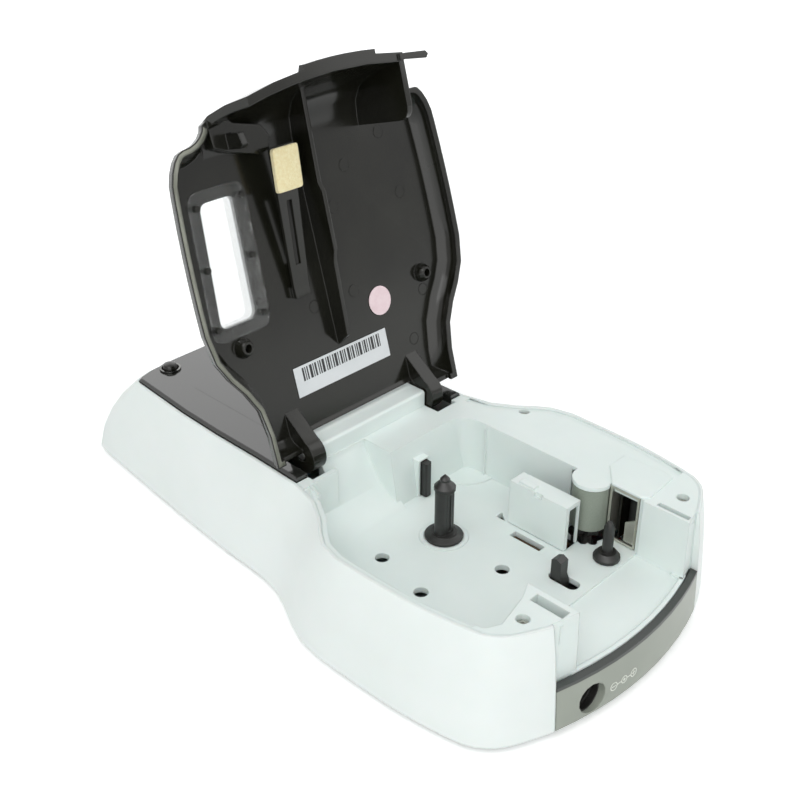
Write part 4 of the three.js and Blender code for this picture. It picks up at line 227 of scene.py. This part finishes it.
finishLooks = {
    # white ABS from a lightly textured tool: even satin with a soft edge highlight
    "whiteAbsShell": {
        "make": mouldedPlastic, "colourLow": "#e4eae7", "colourHigh": "#e8edeb",
        "cloudMm": 30, "grainMm": 0.5, "roughLow": 0.36, "roughHigh": 0.44,
        "bump": 0.12, "edgeMm": 0.7, "glow": 0.05},
    # the same resin in thinner walls: a shade cooler and a little duller
    "whiteAbsFrame": {
        "make": mouldedPlastic, "colourLow": "#dde6e3", "colourHigh": "#e1e9e6",
        "cloudMm": 22, "grainMm": 0.5, "roughLow": 0.4, "roughHigh": 0.5,
        "bump": 0.12, "edgeMm": 0.5, "glow": 0.05},
    # black ABS from a polished tool: deep gloss with slight haze
    "polishedBlackAbs": {
        "make": mouldedPlastic, "colourLow": "#151510", "colourHigh": "#1c1c16",
        "cloudMm": 18, "grainMm": 1.6, "roughLow": 0.11, "roughHigh": 0.19,
        "bump": 0.04, "edgeMm": 0.6, "gloss": 0.34},
    # black ABS, lacquered and buffed: mirror gloss on the face panel
    "pianoBlackPanel": {
        "make": mouldedPlastic, "colourLow": "#20211e", "colourHigh": "#262724",
        "cloudMm": 40, "grainMm": 4.0, "roughLow": 0.08, "roughHigh": 0.14,
        "bump": 0.01, "edgeMm": 0.5, "gloss": 0.7},
    # the same lacquer as a film, whose edge is too thin to catch a line of light
    "pianoBlackFilm": {
        "make": mouldedPlastic, "colourLow": "#20211e", "colourHigh": "#262724",
        "cloudMm": 40, "grainMm": 4.0, "roughLow": 0.08, "roughHigh": 0.14,
        "bump": 0.01, "edgeMm": 0.001, "gloss": 0.7},
    # black ABS of the cover's near rim, coloured pale and dull: a painted highlight
    "rimPaintedHighlight": {
        "make": mouldedPlastic, "colourLow": "#6c6d62", "colourHigh": "#86877c",
        "cloudMm": 14, "grainMm": 0.5, "roughLow": 0.4, "roughHigh": 0.5,
        "bump": 0.1, "edgeMm": 0.1},
    # black acetal fittings: waxy half-gloss
    "blackAcetal": {
        "make": mouldedPlastic, "colourLow": "#1a1a18", "colourHigh": "#222220",
        "cloudMm": 6, "grainMm": 0.35, "roughLow": 0.32, "roughHigh": 0.45,
        "bump": 0.12, "edgeMm": 0.25},
    # lacquered ABS of the front strip: its pale grey is a painted reflection on a darker face, and
    # its top edge is darker with painted shade from the gap under the deck
    "stripPaintedReflectionAndShade": {
        "make": stripWithPaintedLight, "colourLow": "#90958b", "colourHigh": "#9da297",
        # edge is the colour of the painted shade, which fades in over a band just below the top
        "edge": "#3c3f3d", "gapShadeZ": 16.7, "gapShadeFade": 0.25, "cloudMm": 30, "grainMm": 0.4,
        "roughLow": 0.3, "roughHigh": 0.38},
    # uncoloured acetal of the gears: milky and waxy
    "naturalAcetal": {
        "make": mouldedPlastic, "colourLow": "#e2dfd2", "colourHigh": "#ece9dd",
        "cloudMm": 8, "grainMm": 0.3, "roughLow": 0.35, "roughHigh": 0.45,
        "bump": 0.08, "edgeMm": 0.1},
    # glass-fibre board under solder mask: green half-gloss over a faint weave
    "greenCircuitBoard": {
        "make": mouldedPlastic, "colourLow": "#14402a", "colourHigh": "#1c5437",
        "cloudMm": 4, "grainMm": 0.4, "roughLow": 0.3, "roughHigh": 0.45,
        "bump": 0.2, "edgeMm": 0.1},
    # PVC sleeve shrunk round the cells: dark blue with a rippled gloss
    "shrinkWrapBlue": {
        "make": mouldedPlastic, "colourLow": "#1d2f45", "colourHigh": "#26405c",
        "cloudMm": 12, "grainMm": 2.0, "roughLow": 0.25, "roughHigh": 0.4,
        "bump": 0.2, "edgeMm": 0.6},
    # coated sticker paper: pale grey with a faint fibre
    "paperSticker": {
        "make": mouldedPlastic, "colourLow": "#d3d6d8", "colourHigh": "#dadcde",
        "cloudMm": 10, "grainMm": 0.25, "roughLow": 0.45, "roughHigh": 0.6,
        "bump": 0.1, "edgeMm": 0.05},
    # uncoated pink paper: matt, mottled by its pulp
    "pinkPaper": {
        "make": mouldedPlastic, "colourLow": "#e6cdd2", "colourHigh": "#ecd6da",
        "cloudMm": 2.5, "grainMm": 0.3, "roughLow": 0.6, "roughHigh": 0.75,
        "bump": 0.15, "edgeMm": 0.05},
    # dry black print: dull, close to flat
    "printedInk": {
        "make": mouldedPlastic, "colourLow": "#1d1d1f", "colourHigh": "#29292b",
        "cloudMm": 3, "grainMm": 0.3, "roughLow": 0.5, "roughHigh": 0.6,
        "bump": 0.05, "edgeMm": 0.02},
    # white pad-printed ink: opaque and half-dull
    "whiteInk": {
        "make": mouldedPlastic, "colourLow": "#d6d9d0", "colourHigh": "#dfe1d9",
        "cloudMm": 3, "grainMm": 0.3, "roughLow": 0.45, "roughHigh": 0.55,
        "bump": 0.05, "edgeMm": 0.02},
    # fired ceramic strip of the print head: cool grey glaze
    "glazedCeramic": {
        "make": mouldedPlastic, "colourLow": "#4d5c68", "colourHigh": "#5d6e7a",
        "cloudMm": 5, "grainMm": 1.0, "roughLow": 0.1, "roughHigh": 0.2,
        "bump": 0.03, "edgeMm": 0.15},
    # rolled and brushed steel sheet: bright, with level lines
    "brushedSteelSheet": {
        "make": workedMetal, "colourLow": "#a9aaa6", "colourHigh": "#c4c5c2",
        "lines": (1.0, 1.0, 12.0), "lineMm": 1.2, "roughLow": 0.18, "roughHigh": 0.32},
    # drawn steel of pins, shaft and motor can: grey, with faint rings
    "drawnSteel": {
        "make": workedMetal, "colourLow": "#9c9d9b", "colourHigh": "#bcbdba",
        "lines": (1.0, 1.0, 6.0), "lineMm": 0.8, "roughLow": 0.25, "roughHigh": 0.38},
    # zinc-plated steel of screws: pale and lightly mottled
    "zincPlatedSteel": {
        "make": workedMetal, "colourLow": "#a5a59f", "colourHigh": "#c8c8c0",
        "lines": (1.0, 1.0, 1.0), "lineMm": 0.6, "roughLow": 0.25, "roughHigh": 0.4},
    # dark nickel plating on the ring round the power button: smoky mirror
    "darkNickel": {
        "make": workedMetal, "colourLow": "#5c5d5b", "colourHigh": "#6b6c69",
        "lines": (1.0, 1.0, 1.0), "lineMm": 3.0, "roughLow": 0.08, "roughHigh": 0.14},
    # extruded aluminium of the heat sink: pale, with die lines
    "extrudedAluminium": {
        "make": workedMetal, "colourLow": "#b2b4b4", "colourHigh": "#cdcfce",
        "lines": (1.0, 8.0, 1.0), "lineMm": 0.8, "roughLow": 0.3, "roughHigh": 0.42},
    # tumbled sheet steel of the cutter: pale satin with no mirror in it
    "satinSteelSheet": {
        "make": workedMetal, "colourLow": "#c6c5ba", "colourHigh": "#d8d8cd",
        "lines": (1.0, 1.0, 6.0), "lineMm": 0.9, "roughLow": 0.42, "roughHigh": 0.52},
    # phosphor bronze darkened to brown: painted shade for the arm that sits down in its slot
    "bronzePaintedShade": {
        "make": workedMetal, "colourLow": "#4f3a2e", "colourHigh": "#64503f",
        "lines": (1.0, 1.0, 5.0), "lineMm": 0.8, "roughLow": 0.35, "roughHigh": 0.5},
    # blade of spring steel, blued and oiled: near black
    "bluedSpringSteel": {
        "make": workedMetal, "colourLow": "#35332d", "colourHigh": "#444239",
        "lines": (1.0, 1.0, 12.0), "lineMm": 1.0, "roughLow": 0.3, "roughHigh": 0.4},
    # turned brass of the pinion: yellow, with faint rings
    "plainBrass": {
        "make": workedMetal, "colourLow": "#b38d48", "colourHigh": "#c9a35a",
        "lines": (1.0, 1.0, 5.0), "lineMm": 0.8, "roughLow": 0.25, "roughHigh": 0.38},
    # silicone ground round on its shaft: grey-green with a fine grit
    "groundSiliconeRoller": {
        "make": mattRubber, "colourLow": "#858d81", "colourHigh": "#929a8e",
        "gritMm": 0.3, "rough": 0.5},
    # moulded black rubber of the feet: dull, with no highlight
    "darkRubber": {
        "make": mattRubber, "colourLow": "#1c1c1c", "colourHigh": "#262625",
        "gritMm": 0.3, "rough": 0.8},
    # cast acrylic of the window: clear, with hardly a tint
    "clearAcrylicPane": {
        "make": clearAcrylic, "tint": "#f6fafa", "waveMm": 15, "alpha": 0.35},
    # cream felt of the pad: warm, soft and flecked
    "creamFeltPad": {
        "make": softFoam, "colourLow": "#ead9a6", "colourHigh": "#f3e8c0",
        "cellMm": 0.5, "fluffMm": 0.8},
}
finishes = {name: look["make"](name, look) for name, look in finishLooks.items()}
print("materials made:", len(finishes))

nodesOf = {
    "whiteAbsShell": ("lower_shell", "battery_door", "cutter_button"),
    "whiteAbsFrame": ("bay_frame", "head_cover"),
    "polishedBlackAbs": ("power_button", "cover_shell", "pressure_tongue"),
    "pianoBlackPanel": ("face_panel", "touch_glass"),
    "blackAcetal": ("jack_socket", "display_module", "ribbon_spindle", "head_lever",
                    "cassette_detent", "tape_guide_post", "cutter_slide", "platen_coupling"),
    "stripPaintedReflectionAndShade": ("front_strip",),
    "naturalAcetal": ("first_idler_gear", "second_idler_gear", "platen_gear", "spindle_gear"),
    "greenCircuitBoard": ("main_board",),
    "shrinkWrapBlue": ("battery_pack",),
    "paperSticker": ("barcode_label",),
    "pinkPaper": ("dot_sticker",),
    "glazedCeramic": ("print_head",),
    "brushedSteelSheet": ("gear_plate",),
    "drawnSteel": ("hinge_pin_right", "hinge_pin_left", "platen_shaft", "drive_motor"),
    "zincPlatedSteel": ("jack_pin", "deck_screw_1", "deck_screw_2", "deck_screw_3",
                        "case_screw_1", "case_screw_2"),
    "darkNickel": ("button_ring",),
    "extrudedAluminium": ("head_heat_sink",),
    "satinSteelSheet": ("cutter_plate", "tape_clip"),
    "bronzePaintedShade": ("head_arm",),
    "bluedSpringSteel": ("cutter_blade",),
    "plainBrass": ("motor_pinion",),
    "groundSiliconeRoller": ("platen_roller",),
    "darkRubber": ("rubber_foot_1", "rubber_foot_2", "rubber_foot_3", "rubber_foot_4"),
    "clearAcrylicPane": ("cover_window",),
    "creamFeltPad": ("foam_pad",),
}
finishOf = {name: finish for finish, names in nodesOf.items() for name in names}
smoothing = {"joinMm": 0.01, "creaseDegrees": 34, "faceWeight": 80}

for name, piece in nodes.items():
    piece.data.materials.clear()
    piece.data.materials.append(finishes[finishOf[name]])
    for face in piece.data.polygons:
        face.use_smooth = True
    weld = piece.modifiers.new("joinCorners", "WELD")
    weld.merge_threshold = smoothing["joinMm"] * mm
    split = piece.modifiers.new("crispEdges", "EDGE_SPLIT")
    split.split_angle = math.radians(smoothing["creaseDegrees"])
    split.use_edge_sharp = False
    even = piece.modifiers.new("evenShading", "WEIGHTED_NORMAL")
    even.mode = "FACE_AREA"
    even.weight = smoothing["faceWeight"]
print("CAD pieces finished")

# Cover pieces are made with the cover closed, then turned open round the hinge
hinge = {"y": 1.95, "z": 41.6, "openDegrees": 105.8}
hingePoint = Vector((0, hinge["y"] * mm, hinge["z"] * mm))
coverTurn = (Matrix.Translation(hingePoint)
             @ Matrix.Rotation(math.radians(hinge["openDegrees"]), 4, "X")
             @ Matrix.Translation(-hingePoint))
uprightTurn = Matrix.Rotation(math.radians(90), 4, "X")  # lays a flat shape against the strip
mergeMm = 0.005


def sceneObject(name, data):
    made = bpy.data.objects.new(name, data)
    bpy.context.scene.collection.objects.link(made)
    return made


def meshFrom(shape, name, material):
    mesh = bpy.data.meshes.new(name)
    shape.to_mesh(mesh)
    shape.free()
    mesh.materials.append(material)
    return mesh


def pieceFrom(shape, name, finish, body, turn=Matrix.Identity(4)):
    bmesh.ops.transform(shape, matrix=turn, verts=shape.verts)
    bmesh.ops.recalc_face_normals(shape, faces=shape.faces)
    piece = sceneObject(name, meshFrom(shape, name, finishes[finish]))
    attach(piece, body)
    return piece


def addBlock(shape, low, high):
    # a block between two corners in millimetres
    made = bmesh.ops.create_cube(shape, size=1.0)["verts"]
    size = [(b - a) * mm for a, b in zip(low, high)]
    middle = Vector([(a + b) / 2 * mm for a, b in zip(low, high)])
    bmesh.ops.scale(shape, vec=size, verts=made)
    bmesh.ops.translate(shape, vec=middle, verts=made)
    return made


def extrudeFaces(shape, faces, step):
    # draws faces out by a step in millimetres and gives their new corners
    grown = bmesh.ops.extrude_face_region(shape, geom=faces)["geom"]
    moved = [item for item in grown if isinstance(item, bmesh.types.BMVert)]
    bmesh.ops.translate(shape, vec=Vector(step) * mm, verts=moved)
    return moved


def mergedCopy(node, turn=Matrix.Identity(4)):
    # a CAD piece as a bmesh of its own, with its loose triangles joined
    shape = bmesh.new()
    shape.from_mesh(nodes[node].data)
    bmesh.ops.transform(shape, matrix=turn, verts=shape.verts)
    bmesh.ops.remove_doubles(shape, verts=shape.verts, dist=mergeMm * mm)
    return shape


def keepFaces(shape, wanted):
    shape.normal_update()
    unwanted = [face for face in shape.faces if not wanted(face)]
    bmesh.ops.delete(shape, geom=unwanted, context="FACES")


def surfaceOf(node):
    # a CAD piece's surface, for rays to meet
    mesh = nodes[node].data
    return BVHTree.FromPolygons([v.co for v in mesh.vertices], [p.vertices for p in mesh.polygons])


# Printed bars on the sticker: generic, they spell nothing
stickerBars = {"firstX": -14.5, "lastX": 19.6, "lowY": 23.15, "highY": 27.55, "surfaceZ": 44.7,
               "thick": 0.05, "widths": (0.35, 0.7, 0.35, 1.0, 0.5), "spaces": (0.4, 0.7, 0.45)}


def makeStickerBars(look):
    shape = bmesh.new()
    x, count = look["firstX"], 0
    while x < look["lastX"]:
        width = look["widths"][count % len(look["widths"])]
        addBlock(shape, (x, look["lowY"], look["surfaceZ"] - look["thick"]),
                 (x + width, look["highY"], look["surfaceZ"]))
        x += width + look["spaces"][count % len(look["spaces"])]
        count += 1
    pieceFrom(shape, "stickerBars", "printedInk", "cover", coverTurn)


makeStickerBars(stickerBars)

# Soft pad at the tongue's tip: a crowned block of felt, shut on all sides
feltPad = {"centreX": 14.0, "width": 9.8, "length": 13.2, "thick": 1.9, "frontY": 96.45,
           "topZ": 42.15, "rootY": 53.25,
           "slope": 5.6 / 43.6,  # the tongue falls 5.6 mm over 43.6 mm
           "crown": 0.32, "cuts": 7, "smoothLevels": 1}


def makeFeltPad(look):
    shape = bmesh.new()
    bmesh.ops.create_cube(shape, size=1.0)
    bmesh.ops.subdivide_edges(shape, edges=shape.edges[:], cuts=look["cuts"], use_grid_fill=True)
    size = Vector((look["width"], look["length"], look["thick"])) * mm
    bmesh.ops.scale(shape, vec=size, verts=shape.verts)
    for point in shape.verts:
        across = 1 - (2 * point.co.x / (look["width"] * mm)) ** 2
        along = 1 - (2 * point.co.y / (look["length"] * mm)) ** 2
        if point.co.z < 0:
            # full in the middle, drawn in at the rim where it was cut
            point.co.z *= 1 - look["crown"] * (1 - across * along)
        point.co.z -= look["slope"] * point.co.y
    middleY = look["frontY"] - look["length"] / 2
    middleZ = look["topZ"] - look["slope"] * (middleY - look["rootY"]) - look["thick"] / 2
    middle = Vector((look["centreX"], middleY, middleZ)) * mm
    bmesh.ops.translate(shape, vec=middle, verts=shape.verts)
    pad = pieceFrom(shape, "feltPad", "creamFeltPad", "cover", coverTurn)
    for face in pad.data.polygons:
        face.use_smooth = True
    soften = pad.modifiers.new("softEdges", "SUBSURF")
    soften.levels = look["smoothLevels"]
    soften.render_levels = look["smoothLevels"]
    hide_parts("foam_pad")


makeFeltPad(feltPad)

# Polarity marks printed on the strip by the power inlet: two rings and a dot in a cup, with lines
polarityMarks = {"z": 7.7, "line": 0.3, "thick": 0.05, "minusX": 14.2, "cupX": 9.8, "plusX": 5.6,
                 "ring": 1.45, "cup": 1.3, "dot": 0.5, "dotHole": 0.05,
                 "ringSegments": 24, "dotSegments": 12, "lineSegments": 4, "castFromY": 200}


def flatRing(shape, x, z, outer, inner, segments):
    made = bmesh.ops.create_circle(shape, segments=segments, radius=outer * mm)["verts"]
    rim = [edge for edge in shape.edges if all(end in made for end in edge.verts)]
    grown = bmesh.ops.extrude_edge_only(shape, edges=rim)["geom"]
    inside = [item for item in grown if isinstance(item, bmesh.types.BMVert)]
    bmesh.ops.scale(shape, vec=Vector((1, 1, 1)) * (inner / outer), verts=inside)
    bmesh.ops.transform(shape, matrix=Matrix.Translation(Vector((x, 0, z)) * mm) @ uprightTurn,
                        verts=made + inside)


def flatBar(shape, lowX, highX, lowZ, highZ, segments):
    made = bmesh.ops.create_grid(shape, x_segments=segments, y_segments=1, size=0.5)["verts"]
    bmesh.ops.scale(shape, vec=Vector((highX - lowX, highZ - lowZ, 1)) * mm, verts=made)
    middle = Vector(((lowX + highX) / 2, 0, (lowZ + highZ) / 2)) * mm
    bmesh.ops.transform(shape, matrix=Matrix.Translation(middle) @ uprightTurn, verts=made)


def makePolarityMarks(look):
    shape = bmesh.new()
    z, half = look["z"], look["line"] / 2
    minusX, cupX, plusX = look["minusX"], look["cupX"], look["plusX"]
    rings = ((plusX, look["ring"]), (minusX, look["ring"]), (cupX, look["cup"]))
    for x, outer in rings:
        flatRing(shape, x, z, outer, outer - look["line"], look["ringSegments"])
    flatRing(shape, cupX, z, look["dot"], look["dotHole"], look["dotSegments"])
    arm = look["ring"] - look["line"] * 2
    bars = ((plusX - arm, plusX + arm, z - half, z + half),
            (plusX - half, plusX + half, z - arm, z + arm),
            (minusX - arm, minusX + arm, z - half, z + half),
            (cupX + look["cup"], minusX - look["ring"], z - half, z + half),
            (plusX + look["ring"], cupX - look["cup"], z - half, z + half))
    for bar in bars:
        flatBar(shape, *bar, look["lineSegments"])
    # the print lies on the strip's curved face
    face = surfaceOf("front_strip")
    for point in shape.verts:
        start = Vector((point.co.x, look["castFromY"] * mm, point.co.z))
        point.co.y = face.ray_cast(start, Vector((0, -1, 0)))[0].y + look["thick"] * mm
    extrudeFaces(shape, shape.faces[:], (0, -look["thick"], 0))
    pieceFrom(shape, "polarityMarks", "whiteInk", "case")


makePolarityMarks(polarityMarks)
print("sticker, felt pad and print done")

# Pale band under the cover's rim, on the near side only: a painted highlight
rimHighlight = {"height": 38.9, "reach": 0.35, "fromMiddle": 37.0, "facing": -0.9, "inset": 0.35,
           "thick": 0.05}


def makeRimHighlight(look):
    def onRim(face):
        middle = face.calc_center_median() / mm
        # the painted highlight goes on the near side's rim only
        return (face.normal.z < look["facing"] and middle.x > look["fromMiddle"]
                and abs(middle.z - look["height"]) < look["reach"])
    shape = mergedCopy("cover_shell", coverTurn.inverted())
    keepFaces(shape, onRim)
    border = bmesh.ops.inset_region(shape, faces=shape.faces[:], thickness=look["inset"] * mm,
                                    use_boundary=True, use_even_offset=True)["faces"]
    bmesh.ops.delete(shape, geom=border, context="FACES")
    extrudeFaces(shape, shape.faces[:], (0, 0, -look["thick"]))
    pieceFrom(shape, "rimHighlight", "rimPaintedHighlight", "cover", coverTurn)


makeRimHighlight(rimHighlight)

# Marks of the ejector pins on the cover's inner plate: low round pads, placed by x and closed y
pinMarks = {"radius": 2.2, "proud": 0.1, "plateZ": 45.0, "segments": 40,
            "places": ((-37.0, 70.15), (-7.2, 72.75), (-15.3, 84.25), (7.4, 71.25),
                       (-38.8, 35.45), (-30.2, 20.25), (9.0, 44.55), (-8.2, 44.45),
                       (-32.6, 91.15))}


def makePinMarks(look):
    shape = bmesh.new()
    for x, y in look["places"]:
        made = bmesh.ops.create_cone(shape, cap_ends=True, segments=look["segments"],
                                     radius1=(look["radius"] - look["proud"]) * mm,
                                     radius2=look["radius"] * mm,
                                     depth=look["proud"] * 2 * mm)["verts"]
        bmesh.ops.translate(shape, vec=Vector((x, y, look["plateZ"])) * mm, verts=made)
    pieceFrom(shape, "pinMarks", "polishedBlackAbs", "cover", coverTurn)


makePinMarks(pinMarks)

# Film of the face panel: one gloss sheet over the glass and its joint, so that no seam shows
panelFilm = {"over": 1.0, "thick": 0.04, "corner": 3.0, "cornerSteps": 8}


def makePanelFilm(look):
    low, high = ([value / mm for value in corner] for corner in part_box("touch_glass"))
    over, thick = look["over"], look["thick"]
    shape = bmesh.new()
    addBlock(shape, (low[0] - over, low[1] - over, high[2] - thick),
             (high[0] + over, high[1] + over, high[2] + thick))
    upright = [edge for edge in shape.edges
               if abs(edge.verts[0].co.z - edge.verts[1].co.z) > thick * mm]
    bmesh.ops.bevel(shape, geom=upright, offset=look["corner"] * mm, offset_type="OFFSET",
                    affect="EDGES", segments=look["cornerSteps"], profile=0.5, material=-1)
    pieceFrom(shape, "panelFilm", "pianoBlackFilm", "case")


makePanelFilm(panelFilm)

# Bead in the joint between deck and shell: walls of the deck that face the shell closely
deckBead = {"lowZ": 36.2, "joint": 0.45, "thick": 0.29, "steepest": 0.2, "cornerShare": 0.8,
            "snap": 0.0001}


def makeDeckBead(look):
    wall = surfaceOf("lower_shell")

    def atJoint(face):
        if abs(face.normal.z) > look["steepest"]:
            return False
        middle = face.calc_center_median()
        spots = [middle] + [middle.lerp(corner.co, look["cornerShare"]) for corner in face.verts]
        reach = look["joint"] * mm
        return any(wall.ray_cast(spot, face.normal, reach)[0] is not None for spot in spots)
    shape = mergedCopy("bay_frame")
    bmesh.ops.bisect_plane(shape, geom=shape.verts[:] + shape.edges[:] + shape.faces[:],
                           dist=look["snap"] * mm, plane_co=Vector((0, 0, look["lowZ"] * mm)),
                           plane_no=Vector((0, 0, 1)), clear_inner=True)
    keepFaces(shape, atJoint)
    bmesh.ops.solidify(shape, geom=shape.faces[:], thickness=-look["thick"] * mm)
    pieceFrom(shape, "deckBead", "whiteAbsFrame", "case")


makeDeckBead(deckBead)

# Foot and side seal of each front block, where it meets the strip and the shell's cut edge
blockSeals = {"footOutline": ((27.75, 108.35), (34.6, 106.35), (34.6, 104.0), (27.75, 104.0)),
              "footZ": (16.9, 18.3), "sealX": (34.6, 35.28), "sealY": (102.0, 106.55),
              "sealZ": (17.0, 38.1), "lean": 0.65}


def makeBlockSeals(look):
    shape = bmesh.new()
    low, high = look["footZ"]
    middleY, middleZ = (sum(look[key]) / 2 * mm for key in ("sealY", "sealZ"))
    for side in (1, -1):
        corners = [shape.verts.new((side * x * mm, y * mm, low * mm))
                   for x, y in look["footOutline"]]
        extrudeFaces(shape, [shape.faces.new(corners)], (0, 0, high - low))
        ends = sorted(side * x for x in look["sealX"])
        seal = addBlock(shape, (ends[0], look["sealY"][0], look["sealZ"][0]),
                        (ends[1], look["sealY"][1], look["sealZ"][1]))
        # the front leans back towards the top, as the block's does
        upper = [point for point in seal if point.co.z > middleZ and point.co.y > middleY]
        bmesh.ops.translate(shape, vec=Vector((0, -look["lean"], 0)) * mm, verts=upper)
    pieceFrom(shape, "blockSeals", "whiteAbsFrame", "case")


makeBlockSeals(blockSeals)

# Collar that lines the power inlet's hole, in front of the socket
jackCollar = {"x": 22.5, "z": 8.2, "outer": 4.84, "inner": 4.35, "frontY": 111.3, "length": 1.8,
              "segments": 56}


def makeJackCollar(look):
    shape = bmesh.new()
    flatRing(shape, look["x"], look["z"], look["outer"], look["inner"], look["segments"])
    front = Vector((0, look["frontY"], 0)) * mm
    bmesh.ops.translate(shape, vec=front, verts=shape.verts)
    extrudeFaces(shape, shape.faces[:], (0, -look["length"], 0))
    pieceFrom(shape, "jackCollar", "blackAcetal", "case")


makeJackCollar(jackCollar)

# Low plateau on the far side of the deck, where a rib stands behind it
deckPlateau = {"deckZ": 38.4, "height": 0.6, "sunk": 0.2, "rounding": 0.3, "roundingSteps": 3,
               "outline": ((-29.3, 79.25), (-29.1, 89.85), (-31.3, 92.05), (-45.1, 91.05),
                           (-46.2, 87.35), (-45.1, 72.75), (-37.0, 72.95))}


def makeDeckPlateau(look):
    shape = bmesh.new()
    corners = [shape.verts.new((x * mm, y * mm, (look["deckZ"] - look["sunk"]) * mm))
               for x, y in look["outline"]]
    base = shape.faces.new(corners)
    top = extrudeFaces(shape, [base], (0, 0, look["height"] + look["sunk"]))
    rim = [edge for edge in shape.edges if all(end in top for end in edge.verts)]
    bmesh.ops.bevel(shape, geom=rim, offset=look["rounding"] * mm, offset_type="OFFSET",
                    affect="EDGES", segments=look["roundingSteps"], profile=0.5, material=-1)
    pieceFrom(shape, "deckPlateau", "whiteAbsFrame", "case")


makeDeckPlateau(deckPlateau)
print("rim, pin marks, film, bead, seals, collar and plateau done")


def aimAt(owner, place, target):
    # stands at one point and looks at another, both in millimetres
    owner.location = [value * mm for value in place]
    owner.rotation_mode = "QUATERNION"
    owner.rotation_quaternion = (Vector(target) - Vector(place)).to_track_quat("-Z", "Y")


viewPoint = {"place": (228.6, 238.55, 240.9), "target": (-20.9, -4.05, 38.4), "lens": 52.0,
             "sensor": 36.0, "clipStart": 10}
camera = sceneObject("photoCamera", bpy.data.cameras.new("photoCamera"))
camera.data.lens = viewPoint["lens"]
camera.data.sensor_width = viewPoint["sensor"]
camera.data.clip_start = viewPoint["clipStart"] * mm
aimAt(camera, viewPoint["place"], viewPoint["target"])
bpy.context.scene.camera = camera

lamps = {
    "keyLamp": {"place": (500, 100, 1100), "target": (0, 0, 30), "size": 900, "power": 5.4},
    "frontLamp": {"place": (700, 750, 500), "target": (0, 0, 30), "size": 1000, "power": 5.0},
    "fillLamp": {"place": (-900, 500, 700), "target": (0, 0, 50), "size": 900, "power": 3.0},
    "backLamp": {"place": (-500, -1000, 600), "target": (0, 0, 50), "size": 800, "power": 2.0},
}
for name, look in lamps.items():
    lamp = sceneObject(name, bpy.data.lights.new(name, "AREA"))
    lamp.data.size = look["size"] * mm
    lamp.data.energy = look["power"]
    aimAt(lamp, look["place"], look["target"])


def seenRays(owner):
    # 1 where the eye, a gloss or a clear pane looks at it, and 0 where it only gives light
    path = addNode(owner, "ShaderNodeLightPath").outputs
    direct = addNode(owner, "ShaderNodeMath", {"operation": "MAXIMUM"},
                     {0: path["Is Camera Ray"], 1: path["Is Transmission Ray"]})
    every = addNode(owner, "ShaderNodeMath", {"operation": "MAXIMUM"},
                    {0: direct.outputs[0], 1: path["Is Glossy Ray"]})
    return every.outputs[0]


# Studio: white to look at, and a weaker, cooler white as light
studio = {"given": "#f4f8f8", "givenStrength": 0.5, "seen": "#ffffff", "seenStrength": 1.0}
world = bpy.data.worlds.new("paleStudio")
bpy.context.scene.world = world
world.use_nodes = True
world.node_tree.nodes.clear()
given, seen = (addNode(world, "ShaderNodeBackground",
                       {"Color": hexColour(studio[key]), "Strength": studio[key + "Strength"]})
               for key in ("given", "seen"))
chosen = addNode(world, "ShaderNodeMixShader",
                 links={0: seenRays(world), 1: given.outputs[0], 2: seen.outputs[0]})
addNode(world, "ShaderNodeOutputWorld", links={"Surface": chosen.outputs[0]})

# Floor: the eye and the gloss see white paper that glows more away from the object, so the shadow
# stays; the light that it throws back is plain
ground = {"halfSize": 6.0, "seen": "#ffffff", "bounce": "#e2e4e3", "nearGlow": 0.2, "farGlow": 0.95,
          "glowFrom": 0.3, "glowTo": 1.4}


def floorPaper(look):
    paper = blankMaterial("paleFloorPaper")
    bounce = addNode(paper, "ShaderNodeBsdfDiffuse", {"Color": hexColour(look["bounce"])})
    white = addNode(paper, "ShaderNodeBsdfDiffuse", {"Color": hexColour(look["seen"])})
    spot = addNode(paper, "ShaderNodeTexCoord").outputs["Object"]
    away = addNode(paper, "ShaderNodeVectorMath", {"operation": "LENGTH"}, {0: spot})
    glowing = addNode(paper, "ShaderNodeMapRange",
                      {"From Min": look["glowFrom"], "From Max": look["glowTo"],
                       "To Min": look["nearGlow"], "To Max": look["farGlow"]},
                      {"Value": away.outputs["Value"]})
    glow = addNode(paper, "ShaderNodeEmission", {"Color": hexColour(look["seen"])},
                   {"Strength": glowing.outputs["Result"]})
    shown = addNode(paper, "ShaderNodeAddShader",
                    links={0: white.outputs[0], 1: glow.outputs[0]})
    either = addNode(paper, "ShaderNodeMixShader",
                     links={0: seenRays(paper), 1: bounce.outputs[0], 2: shown.outputs[0]})
    return finishMaterial(paper, either)


shape = bmesh.new()
bmesh.ops.create_grid(shape, x_segments=1, y_segments=1, size=ground["halfSize"])
floor = sceneObject("paleFloor", meshFrom(shape, "paleFloor", floorPaper(ground)))
bpy.context.scene.view_settings.view_transform = "Standard"
print("camera, lamps and floor set")
